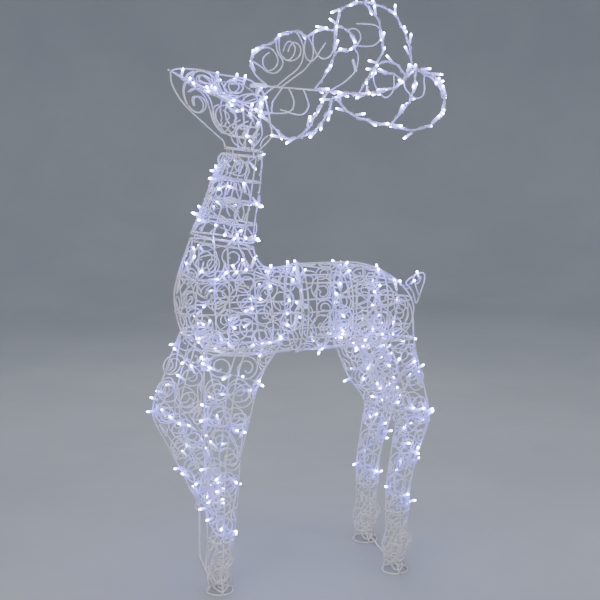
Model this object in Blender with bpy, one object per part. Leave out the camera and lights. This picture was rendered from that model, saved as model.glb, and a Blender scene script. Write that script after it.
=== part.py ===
"""Light-up yard reindeer, standing with its right front leg raised.

Welded steel-wire sections (head, neck, two body halves, four legs, tail, two antlers) are held
together by clear push-on sleeves and cable ties. Light cables run inside the sections and along
the antlers. The head points along -X, the deer's left side is -Y, and the ground is Z = 0.
"""
import math

import bpy
import bmesh
from mathutils import Matrix, Vector

# Driving dimensions, in metres
WIRE_R = 0.0019           # long wires of a section
RING_R = 0.0021           # rings and hoops that the long wires are welded to
ROD_R = 0.0028            # stand rod and rear foot brace
ROD_BEND = 0.012          # inner radius of a bend in a rod
ROD_LAP = 0.022           # how far the stand rod rises above the raised hoof ring
CABLE_R = 0.0012          # light cable
SLEEVE_R = 0.0052         # outer radius of a clear push-on sleeve
TIE_R = 0.0008            # half the thickness of a cable tie's band
GAP = 0.0004              # running gap between touching pieces
WIRE_SIDES = 5
RING_SIDES = 5
CABLE_SIDES = 4
RING_STEPS = 10           # straight runs in one ring
HOOF_Y = 0.119            # each hoof's distance from the middle plane
HOOF_R = 0.0345           # hoof ring, to the middle of its wire
HOOF_Z = RING_R * math.cos(math.pi / RING_SIDES)    # hoof ring's height, flat side on the ground
RAISED_HOOF_Z = 0.147     # height of the raised right front hoof
BODY_TOP, BODY_BOTTOM = 0.829, 0.597
BODY_HALF = 0.085         # half the body's width at its side wires
FRONT_END_X, REAR_START_X = -0.006, 0.008    # where the two body halves face each other
TO_ORIGIN = Vector((-0.0035, 0.0063, 0.0))    # moves the middle of the outer box over the origin

WHITE_WIRE = ("white_wire", (0.80, 0.78, 0.72), 0.42, 0.0)
CLEAR_PLASTIC = ("clear_plastic", (0.62, 0.72, 0.82), 0.25, 0.0)
WHITE_PLASTIC = ("white_plastic", (0.85, 0.85, 0.83), 0.45, 0.0)
CABLE_JACKET = ("cable_jacket", (0.86, 0.87, 0.88), 0.5, 0.0)


def clear_scene():
    for old in list(bpy.data.objects):
        bpy.data.objects.remove(old)


def material(look):
    name, colour, roughness, metallic = look
    made = bpy.data.materials.get(name) or bpy.data.materials.new(name)
    made.use_nodes = True
    shader = made.node_tree.nodes["Principled BSDF"]
    shader.inputs["Base Color"].default_value = (*colour, 1.0)
    shader.inputs["Roughness"].default_value = roughness
    shader.inputs["Metallic"].default_value = metallic
    return made


# ---- paths ----

def smooth(points, steps, closed=False):
    """A smooth curve through the points (Catmull-Rom), with this many straight runs between two."""
    points = [Vector(p) for p in points]
    count = len(points)
    last = count if closed else count - 1
    path = []
    for i in range(last):
        b, c = points[i], points[(i + 1) % count]
        a = points[i - 1] if closed or i else b * 2 - c
        d = points[(i + 2) % count] if closed or i + 2 < count else c * 2 - b
        for k in range(steps):
            t = k / steps
            path.append(0.5 * (b * 2 + (c - a) * t + (a * 2 - b * 5 + c * 4 - d) * t * t
                               + (b * 3 - a - c * 3 + d) * t ** 3))
    return path if closed else path + [points[-1]]


def mirrored(points):
    """The same points on the deer's other side."""
    return [(x, -y, z) for x, y, z in points]


def hoop(half):
    """A hoop that runs from the left (-Y) side over the middle plane to the right side.

    The points given run from the left end to the middle plane.
    """
    return list(half) + mirrored(half[:-1])[::-1]


def ring_point(station, angle, inset=0.0):
    """A point on a station's ellipse: angle 0 is its rear or top, 90 degrees its right side."""
    fore_x, fore_z, aft_x, aft_z, half_y, mid_y = station
    fore, aft = Vector((fore_x, mid_y, fore_z)), Vector((aft_x, mid_y, aft_z))
    long_axis = (aft - fore).normalized()
    reach = (aft - fore).length / 2 - inset
    return ((fore + aft) / 2 + long_axis * reach * math.cos(angle)
            + Vector((0, 1, 0)) * (half_y - inset) * math.sin(angle))


def filleted(points, radius, steps=3):
    """Straight runs between the points, with a round bend of this radius at each corner."""
    points = [Vector(p) for p in points]
    path = [points[0]]
    for a, b, c in zip(points, points[1:], points[2:]):
        back, ahead = (a - b).normalized(), (c - b).normalized()
        half = back.angle(ahead) / 2
        reach = min(radius / math.tan(half), (a - b).length / 2, (c - b).length / 2)
        start, end = b + back * reach, b + ahead * reach
        for k in range(steps + 1):
            t = k / steps
            path.append(start * (1 - t) ** 2 + b * 2 * t * (1 - t) + end * t ** 2)
    return path + [points[-1]]


def nearest_on(path, target, closed=False):
    """The point of the path's straight runs nearest to the target, and the run's direction."""
    target = Vector(target)
    runs = list(zip(path, path[1:])) + ([(path[-1], path[0])] if closed else [])
    best = None
    for a, b in runs:
        a, b = Vector(a), Vector(b)
        share = max(0.0, min(1.0, (target - a).dot(b - a) / (b - a).length_squared))
        point = a.lerp(b, share)
        distance = (point - target).length
        if best is None or distance < best[0]:
            best = (distance, point, (b - a).normalized())
    return best[1], best[2]


def ring_path(station, steps=RING_STEPS):
    return [ring_point(station, 2 * math.pi * k / steps) for k in range(steps)]


def spline_stations(stations, steps):
    """More stations between the given ones, so that long wires and cable follow one surface."""
    halves = [[s[0:3] for s in stations], [s[3:6] for s in stations]]
    first, second = (smooth(half, steps) for half in halves)
    return [(*a, *b) for a, b in zip(first, second)]


def long_wire(stations, angle, steps):
    return [ring_point(s, angle) for s in spline_stations(stations, steps)]


def spiral(stations, turns, start, points, inset):
    """A cable route that winds down the inside of a section."""
    fine = spline_stations(stations, 8)
    path = []
    for k in range(points):
        share = k / (points - 1)
        place = share * (len(fine) - 1)
        low = min(int(place), len(fine) - 2)
        angle = start + 2 * math.pi * turns * share
        a, b = (ring_point(fine[low + n], angle, inset) for n in (0, 1))
        path.append(a.lerp(b, place - low))
    return path


# ---- solids ----

def tube_mesh(name, path, radius, sides, closed=False, normal=None):
    """One closed tube round the path. A flat side faces away from normal, where one is given."""
    path = [Vector(p) for p in path]
    count = len(path)
    bm = bmesh.new()
    up = Vector(normal) if normal else Vector((0.13, 0.29, 0.95))
    rings = []
    for i, point in enumerate(path):
        before = path[i - 1] if closed or i else point
        after = path[(i + 1) % count] if closed or i + 1 < count else point
        along = (after - before).normalized()
        up = Vector(normal) if normal else up
        up = (up - up.dot(along) * along).normalized()
        side = along.cross(up)
        turns = [2 * math.pi * (k + 0.5) / sides - math.pi / 2 for k in range(sides)]
        rings.append([bm.verts.new(point + (side * math.cos(a) + up * math.sin(a)) * radius)
                      for a in turns])
    for i in range(count if closed else count - 1):
        low, high = rings[i], rings[(i + 1) % count]
        for k in range(sides):
            n = (k + 1) % sides
            bm.faces.new((low[k], low[n], high[n], high[k]))
    if not closed:
        bm.faces.new(rings[0][::-1])
        bm.faces.new(rings[-1])
    bmesh.ops.recalc_face_normals(bm, faces=bm.faces)
    mesh = bpy.data.meshes.new(name)
    bm.to_mesh(mesh)
    bm.free()
    mesh.shade_smooth()
    mesh.set_sharp_from_angle(angle=math.radians(75))
    return mesh


def add_object(name, mesh, look, origin=(0, 0, 0)):
    """Links the mesh as a named piece whose own origin is at the given point."""
    made = bpy.data.objects.new(name, mesh)
    bpy.context.scene.collection.objects.link(made)
    mesh.transform(Matrix.Translation(-Vector(origin)))
    made.location = Vector(origin) + TO_ORIGIN
    mesh.materials.append(material(look))
    return made


def wire(path, radius=WIRE_R, sides=WIRE_SIDES, closed=False, normal=None):
    return {"path": path, "radius": radius, "sides": sides, "closed": closed, "normal": normal}


def ring(path, normal=None):
    return wire(path, RING_R, RING_SIDES, True, normal)


def welded(name, wires, origin=(0, 0, 0), solver="EXACT"):
    """One section: its wires joined into a single body by a Boolean union."""
    first, others = wires[0], wires[1:]
    base = add_object(name, tube_mesh(name, **first), WHITE_WIRE, origin)
    group = bpy.data.collections.new(name + "_wires")
    bpy.context.scene.collection.children.link(group)
    for number, each in enumerate(others):
        part_name = f"{name}_wire_{number:02d}"
        helper = add_object(part_name, tube_mesh(part_name, **each), WHITE_WIRE, origin)
        bpy.context.scene.collection.objects.unlink(helper)
        group.objects.link(helper)
        helper.hide_render = True
        helper.display_type = "WIRE"
    join = base.modifiers.new("weld", "BOOLEAN")
    join.operation = "UNION"
    join.operand_type = "COLLECTION"
    join.collection = group
    join.solver = solver
    return base


def cable(name, path, origin=(0, 0, 0)):
    return add_object(name, tube_mesh(name, path, CABLE_R, CABLE_SIDES), CABLE_JACKET, origin)


def sleeve(name, start, end, outer, bore, look, sides=8):
    """A straight tube with an open bore."""
    start, end = Vector(start), Vector(end)
    along = (end - start).normalized()
    side = along.cross(Vector((0.2, 0.3, 0.93))).normalized()
    up = along.cross(side)
    bm = bmesh.new()
    loops = []
    for point, radius in ((start, outer), (end, outer), (end, bore), (start, bore)):
        turns = [2 * math.pi * k / sides for k in range(sides)]
        loops.append([bm.verts.new(point + (side * math.cos(a) + up * math.sin(a)) * radius)
                      for a in turns])
    for i in range(4):
        a, b = loops[i], loops[(i + 1) % 4]
        for k in range(sides):
            n = (k + 1) % sides
            bm.faces.new((a[k], a[n], b[n], b[k]))
    bmesh.ops.recalc_face_normals(bm, faces=bm.faces)
    mesh = bpy.data.meshes.new(name)
    bm.to_mesh(mesh)
    bm.free()
    return add_object(name, mesh, look)


def tie(name, first, second, along, slack=0.0):
    """A cable tie round two wires that run in the direction along, with centres first and second."""
    first, second, along = Vector(first), Vector(second), Vector(along).normalized()
    across = second - first
    across = (across - across.dot(along) * along).normalized()
    other = along.cross(across)
    turns = 4
    reach = RING_R + 2 * GAP + TIE_R * 1.5 + slack
    path = []
    for centre, facing in ((second, 1), (first, -1)):
        for k in range(turns):
            a = math.pi * (k / (turns - 1) - 0.5)
            path.append(centre + (across * math.cos(a) + other * math.sin(a)) * reach * facing)
    return add_object(name, tube_mesh(name, path, TIE_R, 4, True, along), WHITE_PLASTIC)


# ---- sections ----

# A station is (x, z) of its front or lower end, (x, z) of its rear or upper end, half width, y.
HEAD_RING = (-0.188, 1.134, -0.091, 1.122, 0.040, 0.0)
NECK = [
    (-0.190, 1.119, -0.091, 1.107, 0.041, 0.0),
    (-0.222, 1.060, -0.096, 1.044, 0.050, 0.0),
    (-0.240, 1.008, -0.104, 0.990, 0.058, 0.0),
    (-0.262, 0.958, -0.112, 0.937, 0.067, 0.0),
    (-0.279, 0.919, -0.117, 0.892, 0.074, 0.0),
]
NECK_RINGS = (0, 1, 2, 3, 4)
BODY_NECK_RING = (-0.282, 0.904, -0.117, 0.877, 0.075, 0.0)
NOSE = (-0.325, 0.0, 1.3255)
CHEEK_END = (-0.081, -0.048, 1.194)
SOCKET_X, SOCKET_Y, SOCKET_Z = -0.085, 0.025, 1.288


def make_head():
    top = smooth([NOSE, (-0.300, 0, 1.331), (-0.250, 0, 1.328), (-0.205, 0, 1.318),
                  (-0.150, 0, 1.309), (-0.118, 0, 1.301), (-0.100, 0, 1.2835)], 2)
    jaw = smooth([NOSE, (-0.320, 0, 1.290), (-0.289, 0, 1.241), (-0.214, 0, 1.171),
                  (-0.193, 0, 1.152), (-0.188, 0, 1.134)], 2)
    cheek = smooth([NOSE, (-0.259, -0.026, 1.291), (-0.183, -0.040, 1.261),
                    (-0.119, -0.047, 1.227), CHEEK_END], 2)
    back = smooth(hoop([CHEEK_END, (-0.090, -0.043, 1.245), (-0.098, -0.026, 1.2783),
                        (-0.100, 0.0, 1.2835)]), 2)
    drop = smooth([CHEEK_END, (-0.080, -0.045, 1.160), ring_point(HEAD_RING, math.radians(-55))], 3)
    upright = [(-0.152, -0.0435, 1.245), (-0.148, -0.043, 1.185),
               ring_point(HEAD_RING, math.radians(-95))]
    nose_tip = [(-0.3315, 0, 1.3285), NOSE, (-0.310, 0, 1.3185)]
    wires = [ring(ring_path(HEAD_RING)), wire(top), wire(jaw), wire(cheek), wire(mirrored(cheek)),
             wire(back, RING_R), wire(drop), wire(mirrored(drop)), wire(upright),
             wire(mirrored(upright)), wire(nose_tip, RING_R)]
    welded("head_frame", wires)


def make_neck():
    wires = [ring(ring_path(NECK[i])) for i in NECK_RINGS]
    wires += [wire(long_wire(NECK, math.radians(a), 1)) for a in (0, 60, 120, 180, 240, 300)]
    welded("neck_frame", wires)


def barrel_ring(x, top=BODY_TOP, bottom=BODY_BOTTOM, half=BODY_HALF):
    """An upright ring round the body, standing at x."""
    return (x, bottom, x, top, half, 0.0)


def front_lower_hoop():
    return [(FRONT_END_X, -0.066, 0.642), (-0.110, -0.066, 0.642), (-0.200, -0.066, 0.642),
            (-0.268, -0.042, 0.648), (-0.301, 0, 0.652)]


def rear_lower_hoop():
    return [(REAR_START_X, -0.066, 0.642), (0.130, -0.066, 0.642), (0.225, -0.062, 0.643),
            (0.293, -0.034, 0.647), (0.3215, 0, 0.649)]


def make_front_body():
    side_z = (BODY_TOP + BODY_BOTTOM) / 2 + 0.006
    end = FRONT_END_X
    front_line = smooth([(-0.282, 0, 0.904), (-0.315, 0, 0.813), (-0.325, 0, 0.745),
                         (-0.304, 0, 0.656), (-0.255, 0, 0.612), (-0.185, 0, 0.594),
                         (end, 0, BODY_BOTTOM)], 3)
    back_line = smooth([(-0.117, 0, 0.877), (-0.106, 0, 0.846), (-0.085, 0, 0.824),
                        (-0.050, 0, 0.822), (end, 0, BODY_TOP)], 2)
    chest = {
        "upper": [(-0.098, -0.062, 0.806), (-0.160, -0.076, 0.806), (-0.225, -0.074, 0.806),
                  (-0.285, -0.046, 0.806), (-0.317, 0, 0.806)],
        "side": [(end, -BODY_HALF, 0.714), (-0.120, -0.086, side_z), (-0.215, -0.082, side_z),
                 (-0.290, -0.052, side_z), (-0.3245, 0, side_z)],
        "lower": front_lower_hoop(),
    }
    rib = [ring_point(BODY_NECK_RING, math.radians(-92)), (-0.200, -0.078, 0.806),
           (-0.200, -0.083, side_z), (-0.200, -0.066, 0.642), (-0.200, -0.036, 0.607),
           (-0.200, 0, 0.5965)]
    quarter = smooth([ring_point(BODY_NECK_RING, math.radians(-145)), (-0.275, -0.053, 0.806),
                      (-0.283, -0.056, side_z), (-0.266, -0.043, 0.650), (-0.245, 0, 0.6085)], 2)
    shoulder = smooth([ring_point(BODY_NECK_RING, math.radians(-48)), (-0.122, -0.064, 0.838),
                       (-0.098, -0.062, 0.806), (-0.055, -0.064, 0.789), (end, -0.066, 0.787)], 2)
    brace = smooth([(-0.098, -0.062, 0.806), (-0.088, -0.086, side_z), (-0.085, -0.068, 0.642),
                    (-0.085, -0.034, 0.607), (-0.085, 0, 0.595)], 2)
    arch = smooth([(-0.098, -0.062, 0.806), (-0.090, -0.034, 0.822), (-0.085, 0, 0.824)], 1)
    wires = [ring(ring_path(BODY_NECK_RING)), ring(ring_path(barrel_ring(end))),
             wire(front_line), wire(back_line), wire(smooth(hoop(rib), 2), RING_R)]
    wires += [wire(smooth(hoop(points), 2), RING_R) for points in chest.values()]
    for path in (quarter, shoulder, brace, arch):
        wires += [wire(path), wire(mirrored(path))]
    wires += [wire(peg(end, place, 1)) for place in SLEEVE_PLACES.values()]
    welded("front_body_frame", wires)


SLEEVE_PLACES = {"top": 0, "left": -82, "right": 82, "bottom": 180}
PEG = 0.0064              # how far a plug-in end stands out of its body half


def peg(x, angle, way):
    """The straight end that stands out of a body half and plugs into a clear sleeve."""
    start = ring_point(barrel_ring(x), math.radians(angle))
    return [start - Vector((way * WIRE_R, 0, 0)), start + Vector((way * PEG, 0, 0))]


def make_rear_body():
    start = REAR_START_X
    spine = [(start, BODY_TOP), (0.135, 0.828), (0.191, 0.820), (0.248, 0.796), (0.292, 0.764),
             (0.322, 0.727), (0.333, 0.688), (0.318, 0.640), (0.280, 0.610), (0.220, 0.600),
             (0.135, 0.598), (start, BODY_BOTTOM)]
    sides = [
        [(start, -0.066, 0.787), (0.130, -0.064, 0.785), (0.215, -0.052, 0.778), (0.270, -0.030, 0.772),
         (0.290, 0, 0.7655)],
        [(start, -BODY_HALF, 0.714), (0.140, -0.086, 0.718), (0.230, -0.074, 0.722),
         (0.300, -0.042, 0.724), (0.3235, 0, 0.7245)],
        rear_lower_hoop(),
    ]
    wires = [ring(ring_path(barrel_ring(start))),
             ring(ring_path(barrel_ring(0.130, 0.828, 0.598, 0.086))),
             ring(ring_path((0.222, 0.600, 0.235, 0.803, 0.076, 0.0))),
             wire(smooth([(x, 0, z) for x, z in spine], 2))]
    wires += [wire(smooth(hoop(points), 2), RING_R) for points in sides]
    wires += [wire(peg(start, place, -1)) for place in SLEEVE_PLACES.values()]
    welded("rear_body_frame", wires)


def make_body_sleeves():
    """Clear push-on sleeves that hold the two body halves together."""
    for name, angle in SLEEVE_PLACES.items():
        at = ring_point(barrel_ring(0), math.radians(angle))
        inset = RING_R + GAP
        sleeve(f"body_sleeve_{name}", (FRONT_END_X + inset, at.y, at.z),
               (REAR_START_X - inset, at.y, at.z), SLEEVE_R, WIRE_R + GAP, CLEAR_PLASTIC)


def make_tail():
    outline = [(0.3095, 0.765), (0.329, 0.781), (0.350, 0.7895), (0.3625, 0.785), (0.362, 0.764),
               (0.354, 0.742), (0.340, 0.706), (0.3325, 0.731), (0.321, 0.750)]
    path = smooth([(x, 0, z) for x, z in outline], 1, closed=True)
    cross = [(0.3475, 0, 0.7255), (0.3290, 0, 0.7810)]
    welded("tail_loop", [wire(path, closed=True, normal=(0, 1, 0)), wire(cross)])
    tie("tail_tie", (0.3075, 0, 0.7475), (0.321, 0, 0.750), (0.55, 0, -0.83))


# Leg stations: height, front x, rear x, half width, distance of the middle from the body's plane.
FRONT_LEG = [
    (0.645, -0.277, -0.075, 0.034, 0.120), (0.560, -0.2765, -0.130, 0.035, 0.120),
    (0.450, -0.277, -0.160, 0.034, 0.119), (0.350, -0.277, -0.184, 0.032, 0.119),
    (0.250, -0.276, -0.191, 0.030, 0.119), (0.140, -0.273, -0.203, 0.029, 0.119),
    (0.080, -0.278, -0.2055, 0.033, 0.119), (0.055, -0.274, -0.2145, 0.027, 0.119),
    (0.033, -0.274, -0.212, 0.028, 0.119), (0.014, -0.268, -0.214, 0.025, 0.119),
    (HOOF_Z, -0.2775, -0.2085, HOOF_R, HOOF_Y)]
RAISED_LEG = [
    (0.645, -0.286, -0.198, 0.034, 0.120), (0.590, -0.309, -0.213, 0.036, 0.120),
    (0.520, -0.336, -0.225, 0.036, 0.120), (0.425, -0.367, -0.234, 0.034, 0.119),
    (0.330, -0.328, -0.212, 0.032, 0.119), (0.240, -0.284, -0.192, 0.029, 0.119),
    (0.200, -0.268, -0.186, 0.031, 0.119), (0.170, -0.251, -0.193, 0.025, 0.119),
    (RAISED_HOOF_Z, -0.2525, -0.1835, HOOF_R, HOOF_Y)]
REAR_LEG = [
    (0.640, 0.128, 0.285, 0.034, 0.120), (0.575, 0.152, 0.298, 0.036, 0.120),
    (0.490, 0.186, 0.321, 0.036, 0.120), (0.412, 0.236, 0.333, 0.033, 0.119),
    (0.340, 0.228, 0.309, 0.031, 0.119), (0.250, 0.216, 0.285, 0.029, 0.119),
    (0.172, 0.214, 0.278, 0.027, 0.119), (0.118, 0.215, 0.274, 0.027, 0.119),
    (0.078, 0.2055, 0.2865, 0.035, 0.119), (0.034, 0.2125, 0.2635, 0.025, 0.119),
    (HOOF_Z, 0.2075, 0.2765, HOOF_R, HOOF_Y)]
LEG_TIE_SHIFT = 0.010     # how far fore and aft of its middle a leg's top ring is tied
CROSSED_SLACK = 0.0026    # extra reach of the tie that holds two crossing pieces
LEGS = {  # name: stations, side, stations that carry a ring
    "front_leg_left": (FRONT_LEG, -1, (0, 2, 5, 10)),
    "front_leg_right": (RAISED_LEG, 1, (0, 3, 8)),
    "rear_leg_left": (REAR_LEG, -1, (0, 3, 6, 9, 10)),
    "rear_leg_right": (REAR_LEG, 1, (0, 3, 6, 9, 10)),
}


def leg_stations(rows, side):
    return [(front, z, rear, z, half, side * middle) for z, front, rear, half, middle in rows]


def haunch(side):
    """The arched wire that carries a rear leg's outline up beside the rump."""
    y = side * 0.120
    return smooth([(0.128, y, 0.640), (0.150, y, 0.700), (0.205, y, 0.742), (0.262, y, 0.738),
                   (0.281, y, 0.700), (0.285, y, 0.640)], 2)


def make_legs():
    for name, (rows, side, ringed) in LEGS.items():
        stations = leg_stations(rows, side)
        wires = [ring(ring_path(stations[i]), (0, 0, 1)) for i in ringed]
        wires += [wire(long_wire(stations, math.radians(a), 1)) for a in (0, 90, 180, 270)]
        if rows is REAR_LEG:
            wires.append(wire(haunch(side), RING_R))
        welded(name + "_frame", wires)
        make_leg_ties(name, stations[0], side)


def make_leg_ties(name, top, side):
    """Two ties that hold a leg's top ring to the lower hoop of the body."""
    half = rear_lower_hoop() if name.startswith("rear") else front_lower_hoop()
    hooped = smooth(hoop(half), 2)
    middle = (top[0] + top[2]) / 2
    for word, way in (("fore", -1), ("aft", 1)):
        wanted = (middle + way * LEG_TIE_SHIFT, side * (HOOF_Y - top[4]), top[1])
        on_leg, run = nearest_on(ring_path(top), wanted, closed=True)
        on_body, body_run = nearest_on(hooped, on_leg)
        run = run if run.dot(body_run) > 0 else -run
        tie(f"{name}_tie_{word}", on_body, on_leg, run + body_run, GAP)


def make_ground_rods():
    """The stand under the raised hoof, and the rod between the rear hooves."""
    low, over = ROD_R, 2 * RING_R + ROD_R + GAP
    raised = leg_stations(RAISED_LEG, 1)[-1]
    on_ring, run = nearest_on(ring_path(raised), ring_point(raised, math.radians(195)), True)
    inward = Vector((0, 0, 1)).cross(run)
    stand = on_ring + inward * (RING_R + ROD_R + GAP)
    path = filleted([(stand.x, stand.y, RAISED_HOOF_Z + ROD_LAP), (stand.x, stand.y, low),
                     (-0.253, -0.054, low), (-0.254, -0.070, over), (-0.256, -0.118, over)], ROD_BEND)
    add_object("front_stand_rod", tube_mesh("front_stand_rod", path, ROD_R, WIRE_SIDES), WHITE_WIRE)
    tie("stand_rod_tie", on_ring, stand, run + Vector((0, 0, 1)), CROSSED_SLACK)
    x = 0.256
    half = [(x, -0.118, over), (x, -0.070, over), (x, -0.054, low)]
    rear = half + mirrored(half)[::-1]
    mesh = tube_mesh("rear_foot_brace", filleted(rear, ROD_BEND), ROD_R, WIRE_SIDES)
    add_object("rear_foot_brace", mesh, WHITE_WIRE)


def make_joint_ties():
    """Cable ties that hold head to neck and neck to body, between the long wires."""
    pairs = {"head_tie": (HEAD_RING, NECK[0]), "neck_tie": (NECK[-1], BODY_NECK_RING)}
    for name, (upper, lower) in pairs.items():
        for number, angle in enumerate((45, 135, 225, 315)):
            a, run = nearest_on(ring_path(upper), ring_point(upper, math.radians(angle)), True)
            b, _ = nearest_on(ring_path(lower), ring_point(lower, math.radians(angle)), True)
            tie(f"{name}_{number + 1}", a, b, run)


# ---- antlers ----

class AntlerPlane:
    """The flat plane of one antler: s runs back along its beam, d across towards its lobes."""

    def __init__(self, side, beam, lift_deg):
        self.origin = Vector((SOCKET_X, side * SOCKET_Y, SOCKET_Z))
        self.along = Vector(beam).normalized()
        outward = Vector((0, side, 0))
        outward = (outward - outward.dot(self.along) * self.along).normalized()
        upward = self.along.cross(outward) * side
        lift = math.radians(lift_deg)
        self.across = outward * math.cos(lift) + upward * math.sin(lift)
        self.normal = self.along.cross(self.across)

    def points(self, pairs, offset=0.0):
        return [self.origin + self.along * s + self.across * d + self.normal * offset
                for s, d in pairs]


ANTLERS = {
    "right": {
        "plane": AntlerPlane(1, (1, 0.22, -0.03), 75),
        "beam": [(0.0, 0), (0.20, -0.008), (0.28, -0.014), (0.343, -0.010), (0.427, 0.017), (0.471, 0.068)],
        "lobes": [(0.020, -0.001), (-0.018, 0.035), (-0.018, 0.080), (0.013, 0.105), (0.043, 0.113),
                  (0.084, 0.142), (0.125, 0.147), (0.152, 0.137), (0.190, 0.158), (0.236, 0.160),
                  (0.258, 0.208), (0.293, 0.231), (0.335, 0.239), (0.388, 0.232), (0.434, 0.209),
                  (0.461, 0.160), (0.473, 0.113), (0.471, 0.068)],
        "branches": [[(0.236, 0.160), (0.226, 0.089), (0.203, 0.046), (0.155, -0.005)],
                     [(0.335, 0.239), (0.374, 0.198), (0.384, 0.148), (0.380, 0.105), (0.344, 0.053),
                      (0.290, -0.013)]],
    },
    "left": {
        "plane": AntlerPlane(-1, (1, -0.25, -0.13), -42),
        "beam": [(0.0, 0), (0.161, -0.010), (0.225, -0.013), (0.276, -0.026), (0.335, -0.068),
                 (0.374, -0.150)],
        "lobes": [(0.022, -0.005), (-0.010, 0.048), (-0.006, 0.100), (0.030, 0.152), (0.064, 0.182),
                  (0.104, 0.164), (0.138, 0.125), (0.163, 0.050), (0.172, 0.010), (0.208, 0.057),
                  (0.245, 0.078), (0.327, 0.091), (0.370, 0.096), (0.415, 0.070), (0.445, 0.026),
                  (0.458, -0.034), (0.447, -0.102), (0.410, -0.137), (0.362, -0.134)],
        "branches": [[(0.386, -0.146), (0.378, -0.077), (0.367, -0.017), (0.340, 0.042), (0.312, 0.090)],
                     [(0.255, -0.019), (0.258, -0.080), (0.284, -0.142), (0.325, -0.158),
                      (0.358, -0.112)]],
    },
}
PIN = 0.034               # plug pin in front of the beam's root
COLLAR = 0.0008           # gap between the sleeve and the antler's first bend


def make_antler(side, data):
    plane = data["plane"]
    pin = plane.points([(-PIN, 0), (0.0, 0)])
    beam = smooth(plane.points(data["beam"]), 2)
    wires = [wire([pin[0]] + beam), wire(smooth(plane.points(data["lobes"]), 2), RING_R)]
    for number, points in enumerate(data["branches"]):
        wires.append(wire(smooth(plane.points(points, 0.0005 * (number + 1)), 2)))
    welded(f"antler_{side}", wires, plane.origin, "MANIFOLD")
    ends = plane.points([(-PIN + 0.004, 0), (-COLLAR, 0)])
    sleeve(f"antler_socket_{side}", *ends, SLEEVE_R, WIRE_R + GAP, CLEAR_PLASTIC)
    lift = RING_R + CABLE_R + GAP
    outline = data["lobes"][1:]
    cable(f"antler_light_cable_{side}", smooth(plane.points(outline, lift), 2), plane.origin)
    back = data["beam"][1:-1][::-1]
    cable(f"antler_beam_cable_{side}", smooth(plane.points(back, lift), 3), plane.origin)


# ---- light cables ----

FRONT_BODY_CABLE = [BODY_NECK_RING, (-0.322, 0.755, -0.105, 0.842, 0.080, 0.0),
                    (-0.275, 0.630, -0.075, 0.822, 0.080, 0.0), (-0.130, 0.597, -0.045, 0.823, 0.078, 0.0),
                    barrel_ring(FRONT_END_X - 0.008)]
REAR_BODY_CABLE = [barrel_ring(REAR_START_X + 0.008), barrel_ring(0.130, 0.828, 0.598, 0.086),
                   (0.220, 0.600, 0.235, 0.803, 0.070, 0.0), (0.285, 0.620, 0.285, 0.765, 0.036, 0.0)]
HEAD_CABLE = [  # along the left cheek, up and over the crown, back along the right cheek to the neck
    (-0.300, -0.004, 1.306), (-0.255, -0.020, 1.279), (-0.183, -0.033, 1.250), (-0.125, -0.037, 1.222),
    (-0.108, -0.032, 1.238), (-0.114, -0.020, 1.266), (-0.135, -0.006, 1.287), (-0.175, 0.003, 1.297),
    (-0.215, 0.009, 1.297), (-0.226, 0.016, 1.279), (-0.186, 0.030, 1.253), (-0.130, 0.036, 1.221),
    (-0.100, 0.033, 1.190), (-0.098, 0.026, 1.160), (-0.105, 0.018, 1.138)]
LIT_FROM_Z = 0.135        # the light cables of the legs end above this height


def make_cables():
    cable("neck_light_cable", spiral(NECK, 2, 0.3, 30, 0.011))
    cable("front_body_light_cable", spiral(FRONT_BODY_CABLE, 3, 0.6, 40, 0.020))
    cable("rear_body_light_cable", spiral(REAR_BODY_CABLE, 3, 0.4, 38, 0.014))
    for name, (rows, side, _) in LEGS.items():
        lit = [s for s in leg_stations(rows, side) if s[1] > LIT_FROM_Z]
        cable(name + "_light_cable", spiral(lit, 4, 0.5, 38, 0.0095))
    cable("head_light_cable", smooth(HEAD_CABLE, 3))


def main():
    clear_scene()
    make_head()
    make_neck()
    make_front_body()
    make_rear_body()
    make_body_sleeves()
    make_tail()
    make_legs()
    make_ground_rods()
    make_joint_ties()
    for side, data in ANTLERS.items():
        make_antler(side, data)
    make_cables()


main()
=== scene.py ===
"""Light-up yard reindeer: the looks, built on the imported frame.

Lengths are metres. The deer's own layout is written without the shift SHIFT, which every point
gets as it becomes a mesh. The head points along -X, the deer's left side is -Y, +Z is up.
"""
import functools
import math
import random

import bpy
import numpy as np
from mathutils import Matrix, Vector, kdtree


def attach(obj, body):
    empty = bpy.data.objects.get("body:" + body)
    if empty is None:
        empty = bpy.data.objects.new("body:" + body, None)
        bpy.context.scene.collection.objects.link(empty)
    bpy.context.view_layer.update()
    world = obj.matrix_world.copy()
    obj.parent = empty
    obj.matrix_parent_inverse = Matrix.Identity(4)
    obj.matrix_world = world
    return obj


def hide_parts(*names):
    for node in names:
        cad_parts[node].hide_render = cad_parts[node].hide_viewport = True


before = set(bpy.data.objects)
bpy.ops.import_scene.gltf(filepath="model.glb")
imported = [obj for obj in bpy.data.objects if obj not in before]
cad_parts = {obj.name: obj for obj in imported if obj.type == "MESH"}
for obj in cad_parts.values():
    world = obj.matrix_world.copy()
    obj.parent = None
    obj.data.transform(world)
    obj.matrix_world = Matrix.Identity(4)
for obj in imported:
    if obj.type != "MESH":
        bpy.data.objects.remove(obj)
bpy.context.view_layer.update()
SHIFT = Vector((-0.0035, 0.0063, 0.0))

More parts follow.
